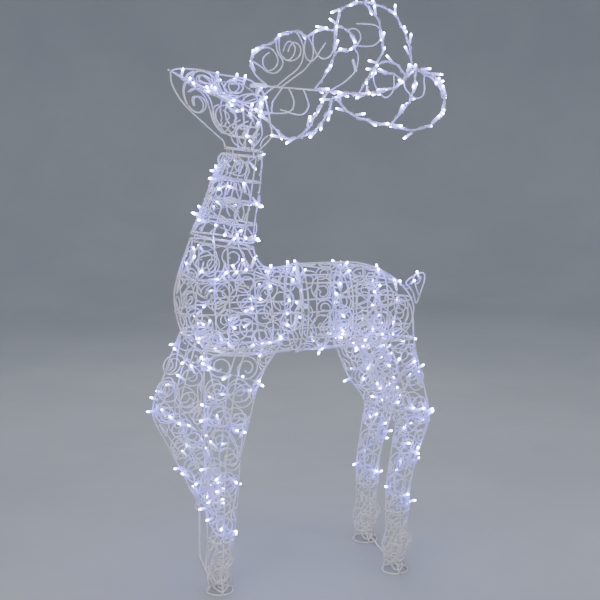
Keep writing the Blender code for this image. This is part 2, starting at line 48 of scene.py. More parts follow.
# ---- sizes of the visual pieces ----
WIRE_R = 0.0019
RING_R = 0.0021
ROD_R = 0.0028
ROD_BEND = 0.012
ROD_LAP = 0.022
GAP = 0.0004
SCROLL_R = 0.00172
INSET = 0.0036            # how far the scrolls' centre line lies inside a section's skin
STRAND_R = 0.00075
TWIST_R = 0.00085
TWIST_PITCH = 0.013
HOLDER_LENGTH = 0.0215
BEAD_R = 0.0036
DEER, LEFT_ANTLER, RIGHT_ANTLER = "deer_body", "left_antler_body", "right_antler_body"


# ---- numbers and paths ----

@functools.lru_cache(maxsize=None)
def points(text, width=2):
    """Points from numbers in millimetres, this many to a point."""
    sizes = [float(word + "e-3") for word in text.split()]
    return [tuple(sizes[i:i + width]) for i in range(0, len(sizes), width)]


def xyz(text):
    return points(text, 3)


def in_plane(text):
    """Points in the deer's middle plane, from x and z."""
    return [(x, 0.0, z) for x, z in points(text)]


def curves(text):
    """Lists of flat points, with a semicolon between two."""
    return [points(part) for part in text.split(";")]


def smooth(points, steps, closed=False):
    """A smooth curve through the points (Catmull-Rom), with this many straight runs between two."""
    points = [Vector(p) for p in points]
    count = len(points)
    last = count if closed else count - 1
    path = []
    for i in range(last):
        b, c = points[i], points[(i + 1) % count]
        a = points[i - 1] if closed or i else b * 2 - c
        d = points[(i + 2) % count] if closed or i + 2 < count else c * 2 - b
        for k in range(steps):
            t = k / steps
            path.append(0.5 * (b * 2 + (c - a) * t + (a * 2 - b * 5 + c * 4 - d) * t * t
                               + (b * 3 - a - c * 3 + d) * t ** 3))
    return path if closed else path + [points[-1]]


def mirrored(points):
    return [Vector((p[0], -p[1], p[2])) for p in points]


def hoop(half):
    return [Vector(p) for p in half] + mirrored(half[:-1])[::-1]


def ring_point(station, angle, inset=0.0):
    """A point on a station's ellipse: angle 0 is its rear or top, 90 degrees its right side."""
    fore_x, fore_z, aft_x, aft_z, half_y, mid_y = station
    fore, aft = Vector((fore_x, mid_y, fore_z)), Vector((aft_x, mid_y, aft_z))
    long_axis = (aft - fore).normalized()
    reach = (aft - fore).length / 2 - inset
    return ((fore + aft) / 2 + long_axis * reach * math.cos(angle)
            + Vector((0, 1, 0)) * (half_y - inset) * math.sin(angle))


def ring_path(station, steps=44):
    return [ring_point(station, 2 * math.pi * k / steps) for k in range(steps)]


def spline_stations(stations, steps):
    halves = [[s[0:3] for s in stations], [s[3:6] for s in stations]]
    first, second = (smooth(half, steps) for half in halves)
    return [(*a, *b) for a, b in zip(first, second)]


def long_wire(stations, angle, steps=4):
    return [ring_point(s, angle) for s in spline_stations(stations, steps)]


def spiral(stations, turns, start, points, inset):
    """A cable route that winds down the inside of a section."""
    fine = spline_stations(stations, 8)
    path = []
    for k in range(points):
        share = k / (points - 1)
        place = share * (len(fine) - 1)
        low = min(int(place), len(fine) - 2)
        angle = start + 2 * math.pi * turns * share
        a, b = (ring_point(fine[low + n], angle, inset) for n in (0, 1))
        path.append(a.lerp(b, place - low))
    return smooth(path, 4)


def filleted(points, radius, steps=6):
    points = [Vector(p) for p in points]
    path = [points[0]]
    for a, b, c in zip(points, points[1:], points[2:]):
        back, ahead = (a - b).normalized(), (c - b).normalized()
        half = back.angle(ahead) / 2
        reach = min(radius / math.tan(half), (a - b).length / 2, (c - b).length / 2)
        start, end = b + back * reach, b + ahead * reach
        for k in range(steps + 1):
            t = k / steps
            path.append(start * (1 - t) ** 2 + b * 2 * t * (1 - t) + end * t ** 2)
    return path + [points[-1]]


def nearest_on(path, target):
    """The point of a closed path nearest to the target, and the run's direction."""
    best = None
    for a, b in zip(path, path[1:] + path[:1]):
        a, b = Vector(a), Vector(b)
        share = max(0.0, min(1.0, (target - a).dot(b - a) / (b - a).length_squared))
        point = a.lerp(b, share)
        distance = (point - target).length
        if best is None or distance < best[0]:
            best = (distance, point, (b - a).normalized())
    return best[1], best[2]


def resampled(path, gap):
    """Points spaced evenly along a path, this far apart."""
    pts = np.array([tuple(p) for p in path])
    steps = np.linalg.norm(np.diff(pts, axis=0), axis=1)
    along = np.concatenate([[0], np.cumsum(steps)])
    count = max(int(along[-1] / gap), 2)
    at = np.linspace(0, along[-1], count + 1)
    return np.stack([np.interp(at, along, pts[:, k]) for k in range(3)], axis=1)


def frames_along(pts, closed=False):
    """Tangents and two normals along the points, carried along without twisting."""
    ahead = np.roll(pts, -1, axis=0)
    behind = np.roll(pts, 1, axis=0)
    if not closed:
        ahead[-1], behind[0] = pts[-1], pts[0]
    tangents = ahead - behind
    tangents /= np.linalg.norm(tangents, axis=1, keepdims=True) + 1e-12
    up = np.array([0.13, 0.29, 0.95])
    ups = np.empty_like(pts)
    for i, t in enumerate(tangents):
        up = up - up.dot(t) * t
        up /= np.linalg.norm(up) + 1e-12
        ups[i] = up
    return tangents, ups, np.cross(tangents, ups)


# ---- meshes ----

def ring_faces(rings, sides, closed=False):
    """Faces between rings of points, with both ends capped unless the last ring joins the first."""
    faces = []
    for ring in range(rings if closed else rings - 1):
        a, b = ring * sides, (ring + 1) % rings * sides
        for k in range(sides):
            n = (k + 1) % sides
            faces.append((a + k, a + n, b + n, b + k))
    if not closed:
        faces += [tuple(range(sides))[::-1], tuple(range((rings - 1) * sides, rings * sides))]
    return faces


class Shape:
    """Collects tubes and turned pieces, then becomes one mesh piece."""

    def __init__(self):
        self.verts, self.faces, self.glow, self.count = [], [], [], 0

    def add(self, verts, sides, closed=False, glow=None):
        """Rings of points, one after another, with their faces."""
        self.verts.append(np.asarray(verts, float))
        for face in ring_faces(len(verts) // sides, sides, closed):
            self.faces.append(tuple(i + self.count for i in face))
        self.glow.append(np.zeros(len(verts)) if glow is None else np.asarray(glow, float))
        self.count += len(verts)

    def tube(self, path, radius, sides, closed=False):
        pts = np.array([tuple(p) for p in path], float)
        _, ups, across = frames_along(pts, closed)
        turns = np.linspace(0, 2 * math.pi, sides, endpoint=False)
        round_part = (ups[:, None, :] * np.cos(turns)[None, :, None]
                      + across[:, None, :] * np.sin(turns)[None, :, None])
        self.add((pts[:, None, :] + round_part * radius).reshape(-1, 3), sides, closed)

    def turned(self, base, axis, profile, sides, glow=None, closed=False):
        """A turned piece: profile is (distance along the axis, radius) pairs from base."""
        base, axis = Vector(base), Vector(axis).normalized()
        side = axis.orthogonal().normalized()
        other = axis.cross(side)
        verts = []
        for far, radius in profile:
            for k in range(sides):
                a = 2 * math.pi * k / sides
                out = side * math.cos(a) + other * math.sin(a)
                verts.append(tuple(base + axis * far + out * radius))
        self.add(verts, sides, closed, None if glow is None else np.repeat(glow, sides))

    def blob(self, centre, size, rng):
        """A small uneven weld bead."""
        rows, sides, verts = 5, 8, []
        squash = Vector((rng.uniform(0.75, 1.25), rng.uniform(0.75, 1.1), rng.uniform(0.75, 1.25)))
        for row in range(rows):
            lat = math.pi * (row + 0.5) / rows - math.pi / 2
            for k in range(sides):
                a = 2 * math.pi * k / sides
                reach = size * (1 + rng.uniform(-0.10, 0.10))
                verts.append((centre[0] + reach * squash.x * math.cos(lat) * math.cos(a),
                              centre[1] + reach * squash.y * math.cos(lat) * math.sin(a),
                              max(centre[2] + reach * squash.z * math.sin(lat), 0.0)))
        self.add(verts, sides)

    def piece(self, name, body, look, slot, replaced=(), smooth_angle=50):
        mesh = bpy.data.meshes.new(name)
        verts = np.concatenate(self.verts) + np.array(SHIFT)
        mesh.from_pydata(verts.tolist(), [], self.faces)
        mesh.update()
        shine = mesh.attributes.new("glow", "FLOAT", "POINT")
        shine.data.foreach_set("value", np.concatenate(self.glow).astype(np.float32))
        mesh.shade_smooth()
        mesh.set_sharp_from_angle(angle=math.radians(smooth_angle))
        mesh.materials.append(look)
        made = bpy.data.objects.new(name, mesh)
        bpy.context.scene.collection.objects.link(made)
        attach(made, body)
        if replaced:
            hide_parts(*replaced)


# ---- materials ----

class Look:
    """A Principled material with its nodes."""

    def __init__(self, name, **sockets):
        self.made = bpy.data.materials.new(name)
        self.made.use_nodes = True
        self.tree = self.made.node_tree
        for key, value in sockets.items():
            self.put(key.replace("_", " "), value)
        self.place = self.node("ShaderNodeTexCoord", "Object")

    def put(self, socket, value, node=None):
        """Sets a socket, or links it where the value is another node's output."""
        socket = (node or self.tree.nodes["Principled BSDF"]).inputs[socket]
        if isinstance(value, bpy.types.NodeSocket):
            self.tree.links.new(value, socket)
        else:
            socket.default_value = value

    def node(self, kind, output, inputs=None, **settings):
        """The output of a new node."""
        made = self.tree.nodes.new(kind)
        for key, value in settings.items():
            setattr(made, key, value)
        for socket, value in (inputs or {}).items():
            self.put(socket, value, made)
        return made.outputs[output]

    def noise(self, scale, detail):
        return self.node("ShaderNodeTexNoise", "Fac", {
            "Scale": scale, "Detail": detail, "Roughness": 0.55, "Vector": self.place})

    def ramp(self, value, *stops):
        made = self.tree.nodes.new("ShaderNodeValToRGB")
        elements = made.color_ramp.elements
        for number, (at, colour) in enumerate(stops):
            stop = elements[number] if number < 2 else elements.new(at)
            stop.position = at
            stop.color = (*colour, 1.0)
        self.put("Fac", value, made)
        return made.outputs["Color"]

    def remap(self, value, low, high, start=0.3, end=0.7):
        return self.node("ShaderNodeMapRange", "Result", {
            "From Min": start, "From Max": end, "To Min": low, "To Max": high, "Value": value})

    def mix(self, factor, first, second, mode="MIX"):
        return self.node("ShaderNodeMix", "Result", {"Factor": factor, "A": first, "B": second},
                         data_type="RGBA", blend_type=mode)

    def glow(self):
        return self.node("ShaderNodeAttribute", "Fac", attribute_name="glow")

    def coloured(self, scale, detail, *stops):
        self.put("Base Color", self.ramp(self.noise(scale, detail), *stops))

    def rough(self, scale, detail, low, high):
        self.put("Roughness", self.remap(self.noise(scale, detail), low, high))

    def bump(self, height, distance, strength):
        self.put("Normal", self.node("ShaderNodeBump", "Normal", {
            "Distance": distance, "Strength": strength, "Height": height}))


def coated_wire(name, pale, dull):
    """White powder coat on steel: colour drift, scattered tan spots of dust and thin coat, and
    orange peel. Near the lamps the colour is painted violet and the wire given a painted
    violet-blue glow, lamp light baked into the glow attribute.
    """
    look = Look(name, Metallic=0.0, Coat_Weight=0.35, Coat_Roughness=0.22, Emission_Strength=1.7)
    white, black = (1, 1, 1), (0, 0, 0)
    drift, lit = look.noise(34.0, 5.0), look.glow()
    cells = look.node("ShaderNodeTexVoronoi", "Distance", {"Scale": 210.0, "Vector": look.place})
    spots = look.ramp(cells, (0.05, white), (0.16, black))
    tan = look.ramp(look.noise(160.0, 2.0), (0.3, (0.45, 0.39, 0.31)), (0.7, (0.62, 0.58, 0.52)))
    unlit = look.ramp(drift, (0.32, dull), (0.62, pale))
    # painted lamp light: violet is the coat colour painted where lamp light falls, and coat mixes
    # it in by the glow attribute
    violet = look.ramp(drift, (0.32, (0.42, 0.42, 0.84)), (0.62, (0.54, 0.54, 0.93)))
    coat = look.mix(look.remap(lit, 0.0, 0.85, 0.10, 0.60), unlit, violet)
    look.put("Base Color", look.mix(spots, coat, tan))
    look.rough(120.0, 4.0, 0.26, 0.50)
    # painted glow: the wires emit violet-blue light near the lamps, though they are no lamps
    look.put("Emission Color", look.ramp(
        lit, (0.0, black), (0.25, (0.03, 0.025, 0.24)), (0.6, (0.10, 0.09, 0.78)),
        (1.0, (0.34, 0.33, 1.0))))
    look.bump(look.noise(700.0, 3.0), 0.00035, 0.55)
    return look.made


def weld_look():
    look = Look("weld_bead_mat", Metallic=0.25)
    look.coloured(260.0, 5.0, (0.30, (0.36, 0.30, 0.24)), (0.52, (0.58, 0.53, 0.46)),
                  (0.72, (0.74, 0.71, 0.66)))
    look.rough(300.0, 3.0, 0.42, 0.75)
    look.bump(look.noise(900.0, 4.0), 0.0006, 0.8)
    return look.made


def cable_look():
    look = Look("cable_jacket_mat", Transmission_Weight=0.25, IOR=1.5, Coat_Weight=0.25)
    look.coloured(60.0, 3.0, (0.30, (0.62, 0.66, 0.82)), (0.70, (0.88, 0.90, 0.97)))
    look.rough(240.0, 3.0, 0.24, 0.46)
    look.bump(look.noise(1100.0, 2.0), 0.0002, 0.5)
    return look.made


def holder_look():
    """Frosted lamp holder: clear white plastic that carries the lamp's violet-blue light."""
    look = Look("lamp_holder_mat", Transmission_Weight=0.30, IOR=1.49, Emission_Strength=1.0)
    look.coloured(150.0, 3.0, (0.3, (0.80, 0.83, 0.93)), (0.7, (0.93, 0.94, 0.98)))
    look.rough(420.0, 3.0, 0.22, 0.44)
    look.put("Emission Color", look.ramp(
        look.glow(), (0.0, (0.05, 0.05, 0.16)), (0.4, (0.30, 0.32, 0.80)),
        (0.8, (1.0, 1.05, 1.9)), (1.0, (2.4, 2.5, 4.0))))
    look.bump(look.noise(800.0, 2.0), 0.0002, 0.4)
    return look.made


def tip_look():
    """The lit lamp: cool white at its crown, violet-blue round its skirt, faintly cloudy."""
    look = Look("lamp_tip_mat", Transmission_Weight=0.1, IOR=1.5, Roughness=0.2,
                Emission_Strength=55.0)
    cloud = look.remap(look.noise(600.0, 2.0), 0.78, 1.0)
    crown = look.ramp(look.glow(), (0.0, (0.22, 0.22, 1.0)), (0.5, (0.42, 0.44, 1.0)),
                      (1.0, (0.70, 0.74, 1.0)))
    grey = look.node("ShaderNodeCombineColor", "Color",
                     {"Red": cloud, "Green": cloud, "Blue": cloud})
    look.put("Emission Color", look.mix(1.0, crown, grey, "MULTIPLY"))
    look.put("Base Color", crown)
    return look.made


def sleeve_look():
    look = Look("clear_sleeve_painted_glow_mat", Transmission_Weight=0.35, IOR=1.47, Emission_Strength=0.5)
    look.coloured(90.0, 3.0, (0.3, (0.70, 0.82, 0.97)), (0.7, (0.88, 0.94, 1.0)))
    # painted glow: the sleeves and cable joints emit a blotchy blue light, though they are no lamps
    look.put("Emission Color", look.ramp(
        look.noise(90.0, 3.0), (0.3, (0.16, 0.24, 0.60)), (0.7, (0.30, 0.42, 0.85))))
    look.rough(200.0, 3.0, 0.08, 0.26)
    look.bump(look.noise(350.0, 2.0), 0.0004, 0.4)
    return look.made


def nylon_look():
    look = Look("cable_tie_mat", Coat_Weight=0.1)
    look.coloured(140.0, 3.0, (0.3, (0.74, 0.74, 0.72)), (0.7, (0.90, 0.90, 0.89)))
    look.rough(300.0, 2.0, 0.35, 0.6)
    teeth = look.node("ShaderNodeTexWave", "Fac", {"Scale": 300.0, "Vector": look.place},
                      wave_type="BANDS", bands_direction="Z")
    look.bump(teeth, 0.0003, 0.5)
    return look.made


WIRE_MAT = coated_wire("coated_wire_painted_lamp_light_mat", (0.84, 0.83, 0.80), (0.66, 0.64, 0.60))
SCROLL_MAT = coated_wire("scroll_wire_painted_lamp_light_mat", (0.86, 0.85, 0.83), (0.70, 0.68, 0.64))
WELD_MAT = weld_look()
CABLE_MAT = cable_look()
HOLDER_MAT = holder_look()
TIP_MAT = tip_look()
SLEEVE_MAT = sleeve_look()
TIE_MAT = nylon_look()
LOWEST_SCROLL = SCROLL_R + 0.0004

# ---- the deer's layout ----
HOOF_Y, HOOF_R = 0.119, 0.0345
HOOF_Z = RING_R
RAISED_HOOF_Z = 0.147
BODY_TOP, BODY_BOTTOM, BODY_HALF = 0.829, 0.597, 0.085
BODY_MIDDLE_Z, CHEST_TOP_Z = 0.713, 0.80
HAUNCH_Y, LEG_TOP_Z = 0.120, 0.640
THIN = 0.001                 # the least height or depth that a section's width is divided by
FRONT_END_X, REAR_START_X = -0.006, 0.008
SIDE_Z = (BODY_TOP + BODY_BOTTOM) / 2 + 0.006
HEAD_RING = (-0.188, 1.134, -0.091, 1.122, 0.040, 0.0)
NECK = points("""
-190 1119 -91 1107 41 0
-222 1060 -96 1044 50 0
-240 1008 -104 990 58 0
-262 958 -112 937 67 0
-279 919 -117 892 74 0
""", 6)
BODY_NECK_RING = (-0.282, 0.904, -0.117, 0.877, 0.075, 0.0)
NOSE = (-0.325, 0.0, 1.3255)
CHEEK_END = (-0.081, -0.048, 1.194)
SOCKET_X, SOCKET_Y, SOCKET_Z = -0.085, 0.025, 1.288
SLEEVE_PLACES = {"top": 0, "left": -82, "right": 82, "bottom": 180}
PEG, PIN, COLLAR = 0.0064, 0.034, 0.0008
FRONT_LEG = points("""
645 -277 -75 34 120
560 -276.5 -130 35 120
450 -277 -160 34 119
350 -277 -184 32 119
250 -276 -191 30 119
140 -273 -203 29 119
80 -278 -205.5 33 119
55 -274 -214.5 27 119
33 -274 -212 28 119
14 -268 -214 25 119
""", 5) + [(HOOF_Z, -0.2775, -0.2085, HOOF_R, HOOF_Y)]
RAISED_LEG = points("""
645 -286 -198 34 120
590 -309 -213 36 120
520 -336 -225 36 120
425 -367 -234 34 119
330 -328 -212 32 119
240 -284 -192 29 119
200 -268 -186 31 119
170 -251 -193 25 119
""", 5) + [(RAISED_HOOF_Z, -0.2525, -0.1835, HOOF_R, HOOF_Y)]
REAR_LEG = points("""
640 128 285 34 120
575 152 298 36 120
490 186 321 36 120
412 236 333 33 119
340 228 309 31 119
250 216 285 29 119
172 214 278 27 119
118 215 274 27 119
78 205.5 286.5 35 119
34 212.5 263.5 25 119
""", 5) + [(HOOF_Z, 0.2075, 0.2765, HOOF_R, HOOF_Y)]
LEGS = {  # name: stations, side, stations that carry a ring
    "front_leg_left": (FRONT_LEG, -1, (0, 2, 5, 10)),
    "front_leg_right": (RAISED_LEG, 1, (0, 3, 8)),
    "rear_leg_left": (REAR_LEG, -1, (0, 3, 6, 9, 10)),
    "rear_leg_right": (REAR_LEG, 1, (0, 3, 6, 9, 10)),
}


def leg_stations(rows, side):
    return [(front, z, rear, z, half, side * middle) for z, front, rear, half, middle in rows]


def barrel_ring(x, top=BODY_TOP, bottom=BODY_BOTTOM, half=BODY_HALF):
    return (x, bottom, x, top, half, 0.0)


SECOND_BARREL_RING = barrel_ring(0.130, 0.828, 0.598, 0.086)


def open_wire(bends, steps=8, radius=WIRE_R):
    return {"path": smooth(bends, steps), "radius": radius, "closed": False}


def raw_wire(path, radius=WIRE_R):
    return {"path": [Vector(p) for p in path], "radius": radius, "closed": False}


def ring_wire(station):
    return {"path": ring_path(station), "radius": RING_R, "closed": True}


def both(bends, steps=8):
    """A wire and its mirror copy."""
    return [open_wire(bends, steps), open_wire(mirrored(bends), steps)]


def head_wires():
    top = [NOSE] + in_plane("-300 1331 -250 1328 -205 1318 -150 1309 -118 1301 -100 1283.5")
    jaw = [NOSE] + in_plane("-320 1290 -289 1241 -214 1171 -193 1152 -188 1134")
    cheek = [NOSE, *xyz("-259 -26 1291 -183 -40 1261 -119 -47 1227"), CHEEK_END]
    back = hoop([CHEEK_END, *xyz("-90 -43 1245 -98 -26 1278.3 -100 0 1283.5")])
    drop = [CHEEK_END, (-0.080, -0.045, 1.160), ring_point(HEAD_RING, math.radians(-55))]
    upright = xyz("-152 -43.5 1245 -148 -43 1185") + [ring_point(HEAD_RING, math.radians(-95))]
    nose_tip = in_plane("-331.5 1328.5 -325 1325.5 -310 1318.5")
    return ([ring_wire(HEAD_RING), open_wire(top), open_wire(jaw)] + both(cheek)
            + [open_wire(back, 8, RING_R)] + both(drop) + both(upright)
            + [open_wire(nose_tip, 4, RING_R)])


def neck_wires():
    return ([ring_wire(s) for s in NECK]
            + [raw_wire(long_wire(NECK, math.radians(a), 6)) for a in (0, 60, 120, 180, 240, 300)])


def pegs(x, way):
    """The short straight ends that plug into the four sleeves."""
    starts = [ring_point(barrel_ring(x), math.radians(a)) for a in SLEEVE_PLACES.values()]
    return [raw_wire([start - Vector((way * WIRE_R, 0, 0)), start + Vector((way * PEG, 0, 0))])
            for start in starts]


def front_body_wires():
    end = FRONT_END_X
    front_line = in_plane("-282 904 -315 813 -325 745 -304 656 -255 612 -185 594")
    back_line = in_plane("-117 877 -106 846 -85 824 -50 822")
    upper = xyz("-98 -62 806 -160 -76 806 -225 -74 806 -285 -46 806 -317 0 806")
    side = [(end, -BODY_HALF, 0.714)] + [
        (x, y, SIDE_Z) for x, y in points("-120 -86 -215 -82 -290 -52 -324.5 0")]
    lower = [(end, -0.066, 0.642)] + xyz("-110 -66 642 -200 -66 642 -268 -42 648 -301 0 652")
    rib = [ring_point(BODY_NECK_RING, math.radians(-92)), (-0.200, -0.078, 0.806),
           (-0.200, -0.083, SIDE_Z), *xyz("-200 -66 642 -200 -36 607 -200 0 596.5")]
    quarter = [ring_point(BODY_NECK_RING, math.radians(-145)), (-0.275, -0.053, 0.806),
               (-0.283, -0.056, SIDE_Z), *xyz("-266 -43 650 -245 0 608.5")]
    shoulder = [ring_point(BODY_NECK_RING, math.radians(-48)),
                *xyz("-122 -64 838 -98 -62 806 -55 -64 789"), (end, -0.066, 0.787)]
    brace = [(-0.098, -0.062, 0.806), (-0.088, -0.086, SIDE_Z),
             *xyz("-85 -68 642 -85 -34 607 -85 0 595")]
    arch = xyz("-98 -62 806 -90 -34 822 -85 0 824")
    wires = [ring_wire(BODY_NECK_RING), ring_wire(barrel_ring(end)),
             open_wire(front_line + [(end, 0, BODY_BOTTOM)]),
             open_wire(back_line + [(end, 0, BODY_TOP)])]
    wires += [open_wire(hoop(half), 6, RING_R) for half in (rib, upper, side, lower)]
    for half in (quarter, shoulder, brace, arch):
        wires += both(half, 6)
    return wires + pegs(end, 1)


def rear_body_wires():
    start = REAR_START_X
    spine = [(start, 0, BODY_TOP), *in_plane(
        "135 828 191 820 248 796 292 764 322 727 333 688 318 640 280 610 220 600 135 598"),
        (start, 0, BODY_BOTTOM)]
    upper = [(start, -0.066, 0.787)] + xyz("130 -64 785 215 -52 778 270 -30 772 290 0 765.5")
    side = [(start, -BODY_HALF, 0.714)] + xyz("140 -86 718 230 -74 722 300 -42 724 323.5 0 724.5")
    lower = [(start, -0.066, 0.642)] + xyz("130 -66 642 225 -62 643 293 -34 647 321.5 0 649")
    wires = [ring_wire(barrel_ring(start)), ring_wire(SECOND_BARREL_RING),
             ring_wire((0.222, 0.600, 0.235, 0.803, 0.076, 0.0)), open_wire(spine)]
    wires += [open_wire(hoop(half), 6, RING_R) for half in (upper, side, lower)]
    return wires + pegs(start, -1)


def leg_wires(name):
    rows, side, ringed = LEGS[name]
    stations = leg_stations(rows, side)
    wires = [ring_wire(stations[i]) for i in ringed]
    wires += [raw_wire(long_wire(stations, math.radians(a), 5)) for a in (0, 90, 180, 270)]
    if rows is REAR_LEG:
        haunch = points("128 640 150 700 205 742 262 738 281 700 285 640")
        wires.append(open_wire([(x, side * HAUNCH_Y, z) for x, z in haunch], 8, RING_R))
    return wires


def tail_wires():
    outline = in_plane("309.5 765 329 781 350 789.5 362.5 785 362 764 354 742 340 706 332.5 731"
                       " 321 750")
    loop = {"path": smooth(outline, 5, True), "radius": WIRE_R, "closed": True}
    return [loop, raw_wire(in_plane("347.5 725.5 329 781"))]


# ---- skins: how far each section's surface lies from its middle plane ----

def along(value, pairs):
    return float(np.interp(value, [p[0] for p in pairs], [p[1] for p in pairs]))


def at(value, text):
    return along(value, points(text))


def round_half(half, share):
    share = max(-0.985, min(0.985, share))
    return half * math.sqrt(1 - share * share)


def body_skin(x, z):
    top = at(x, "-325 750 -315 813 -282 904 -117 877 -106 846 -85 824 0 829 135 828 191 820"
                " 248 796 292 764 322 727 333 689")
    low = at(x, "-325 745 -304 656 -255 612 -185 594 0 597 220 600 280 610 318 640 333 687")
    half = at(x, "-325 0 -290 50 -222.5 78 -120 86 0 85 140 86 230 74 300 42 333 0")
    if z > CHEST_TOP_Z and x < -0.10:
        share = (z - BODY_MIDDLE_Z) / max(top - BODY_MIDDLE_Z, THIN)
        lean = along(z, [(CHEST_TOP_Z, 0.0), (0.90, 1.0)])
        return (round_half(half, share) * (1 - lean)
                + lean * round_half(BODY_NECK_RING[4], (x + 0.20) / 0.085))
    return round_half(half, (z - (top + low) / 2) / max((top - low) / 2, THIN))


def tube_profile(stations):
    """A function from a height to the tube's front, rear and half width there."""
    ordered = sorted(stations, key=lambda s: s[1])
    tables = ([(s[1], s[0]) for s in ordered], [(s[3], s[2]) for s in ordered],
              [((s[1] + s[3]) / 2, s[4]) for s in ordered])
    return lambda z: [along(z, table) for table in tables]


def tube_skin(stations):
    profile = tube_profile(stations)

    def skin(x, z):
        front, rear, half = profile(z)
        return round_half(half, (x - (front + rear) / 2) / max((rear - front) / 2, THIN))
    return skin


def head_skin(x, z):
    top = at(x, "-325 1325.5 -300 1334 -250 1330 -205 1318 -150 1309 -118 1301 -80 1280")
    jaw = at(x, "-325 1325.5 -320 1290 -289 1241 -214 1171 -188 1134 -90 1122")
    middle = at(x, "-325 1325.5 -259 1291 -183 1261 -119 1227 -81 1194")
    cheek = at(x, "-325 0 -259 26 -183 40 -119 47 -81 48")
    if z > middle:
        share = (top - z) / max(top - middle, THIN)
    elif x > -0.19:
        return cheek
    else:
        share = (z - jaw) / max(middle - jaw, THIN)
    return cheek * max(0.0, min(1.0, share)) ** 0.6


# ---- scrollwork: spirals bent in pairs, laid just inside each skin ----

CURL_SHRINK, CURL_CORE = 0.58, 0.42 - 0.14   # shares of a curl's radius lost on the way in
LEAD_TURN, LEAD_SWING, LEAD_STEPS = 0.9, 1.2, 8
LEAST_WIDTH = 0.003          # how far a scroll stays from a section's middle plane

def curl(centre, radius, start, turns, sense):
    """Flat points that run from the rim of a curl into its middle."""
    count = max(int(20 * turns), 8)
    out = []
    for k in range(count + 1):
        share = k / count
        reach = radius * (1 - CURL_SHRINK * share - CURL_CORE * share ** 6)
        angle = start + sense * 2 * math.pi * turns * share
        out.append((centre[0] + reach * math.cos(angle), centre[1] + reach * math.sin(angle)))
    return out


def scroll(first, second, turns=1.6):
    """An S or C with a curl at each end: x, z, radius each, whose sign sets the bend."""
    (ax, az, ar), (bx, bz, br) = first, second
    base = math.atan2(bz - az, bx - ax)
    sense_a, sense_b = (1 if ar > 0 else -1), (-1 if br > 0 else 1)
    head = curl((ax, az), abs(ar), base + sense_a * math.pi / 2, turns, sense_a)[::-1]
    tail = curl((bx, bz), abs(br), base - sense_b * math.pi / 2, turns, sense_b)
    a, b = np.array(head[-1]), np.array(tail[0])
    way = np.array([math.cos(base), math.sin(base)])
    pull = np.linalg.norm(b - a) * 0.9
    link = []
    for t in (k / 10 for k in range(1, 10)):
        link.append(tuple(
            (2 * t ** 3 - 3 * t ** 2 + 1) * a + (t ** 3 - 2 * t ** 2 + t) * way * pull
            + (3 * t ** 2 - 2 * t ** 3) * b + (t ** 3 - t ** 2) * way * pull))
    return head + link + tail


def on_skin(flat, skin, side, middle=0.0):
    return [Vector((x, middle + side * max(skin(x, z) - INSET, LEAST_WIDTH), max(z, LOWEST_SCROLL)))
            for x, z in flat]


def flat_curve(flat):
    """A bent wire through flat (x, z) points."""
    return [(p.x, p.z) for p in smooth([(x, 0.0, z) for x, z in flat], 6)]


def lone(x, z, radius, turns, start, sense):
    """A single curl whose outer end swings out to meet the next wire."""
    lead = []
    for share in (k / LEAD_STEPS for k in range(LEAD_STEPS, 0, -1)):
        angle = start - sense * LEAD_TURN * share * LEAD_SWING
        reach = radius * (1 + 0.55 * share * share)
        lead.append((x + reach * math.cos(angle), z + reach * math.sin(angle)))
    return lead + curl((x, z), radius, start, turns, sense)


def scrolls(text):
    """Scrolls and lone curls from a table, with lengths in millimetres.

    A scroll's row: x, z and radius of its two ends, then its turns where they aren't 1.6.
    A lone curl's row: the word lone, x, z, radius, turns, start angle, sense.
    """
    made = []
    for words in map(str.split, text.strip().splitlines()):
        alone = words[0] == "lone"
        sizes = words[1:4] if alone else words[:6]
        [ends] = points(" ".join(sizes), len(sizes))
        rest = [float(word) for word in words[4 if alone else 6:]]
        made.append(lone(*ends, *rest) if alone else scroll(ends[:3], ends[3:], *rest))
    return made


HEAD_CURLS = curves("""
-229 1293 -237 1295 -247 1298 -256 1304 -253 1313 -242 1314 -230 1307 -220 1297 -219 1287 -228 1281
-241 1284 -257 1291 -269 1302 -271 1313 -264 1322 -248 1325 -228 1320 -216 1307 -212 1287 -204 1273
-193 1264 -178 1260 -162 1261; -210 1316 -202 1301 -194 1285 -185 1272 -174 1266 -160 1264;
-138 1299 -157 1304 -174 1301 -182 1289 -179 1276 -166 1271 -152 1274 -145 1285 -152 1295 -167 1293;
-155 1240 -145 1259 -126 1267 -108 1267 -96 1256 -96 1239 -104 1226 -114 1222; -170 1258 -155 1251
-138 1246 -120 1248 -100 1257; -285 1303 -292 1282 -291 1264 -284 1243; -266 1240 -269 1255
-264 1262 -250 1260 -240 1246 -241 1232 -253 1223 -268 1227 -282 1240; -279 1274 -268 1281 -256 1281
-241 1271 -229 1253 -222 1230 -217 1207 -207 1187 -194 1173 -184 1170 -174 1177 -166 1187 -152 1195;
-196 1241 -207 1238 -215 1225 -213 1207 -204 1193 -195 1189 -190 1199 -191 1214 -193 1228 -187 1253;
-193 1193 -186 1179 -173 1167 -156 1161 -139 1159 -124 1164 -113 1180 -108 1196; -116 1186 -131 1186
-144 1180 -151 1169 -145 1160 -131 1162 -119 1174 -112 1187; -137 1202 -151 1195 -158 1184 -148 1183
-129 1190; -163 1163 -158 1148 -146 1137 -131 1131 -113 1130; -108 1138 -100 1155 -86 1166;
-131 1131 -123 1154 -115 1175; -184 1228 -172 1220 -167 1209 -172 1202 -166 1191; -287 1307
-279 1318 -267 1325
""")
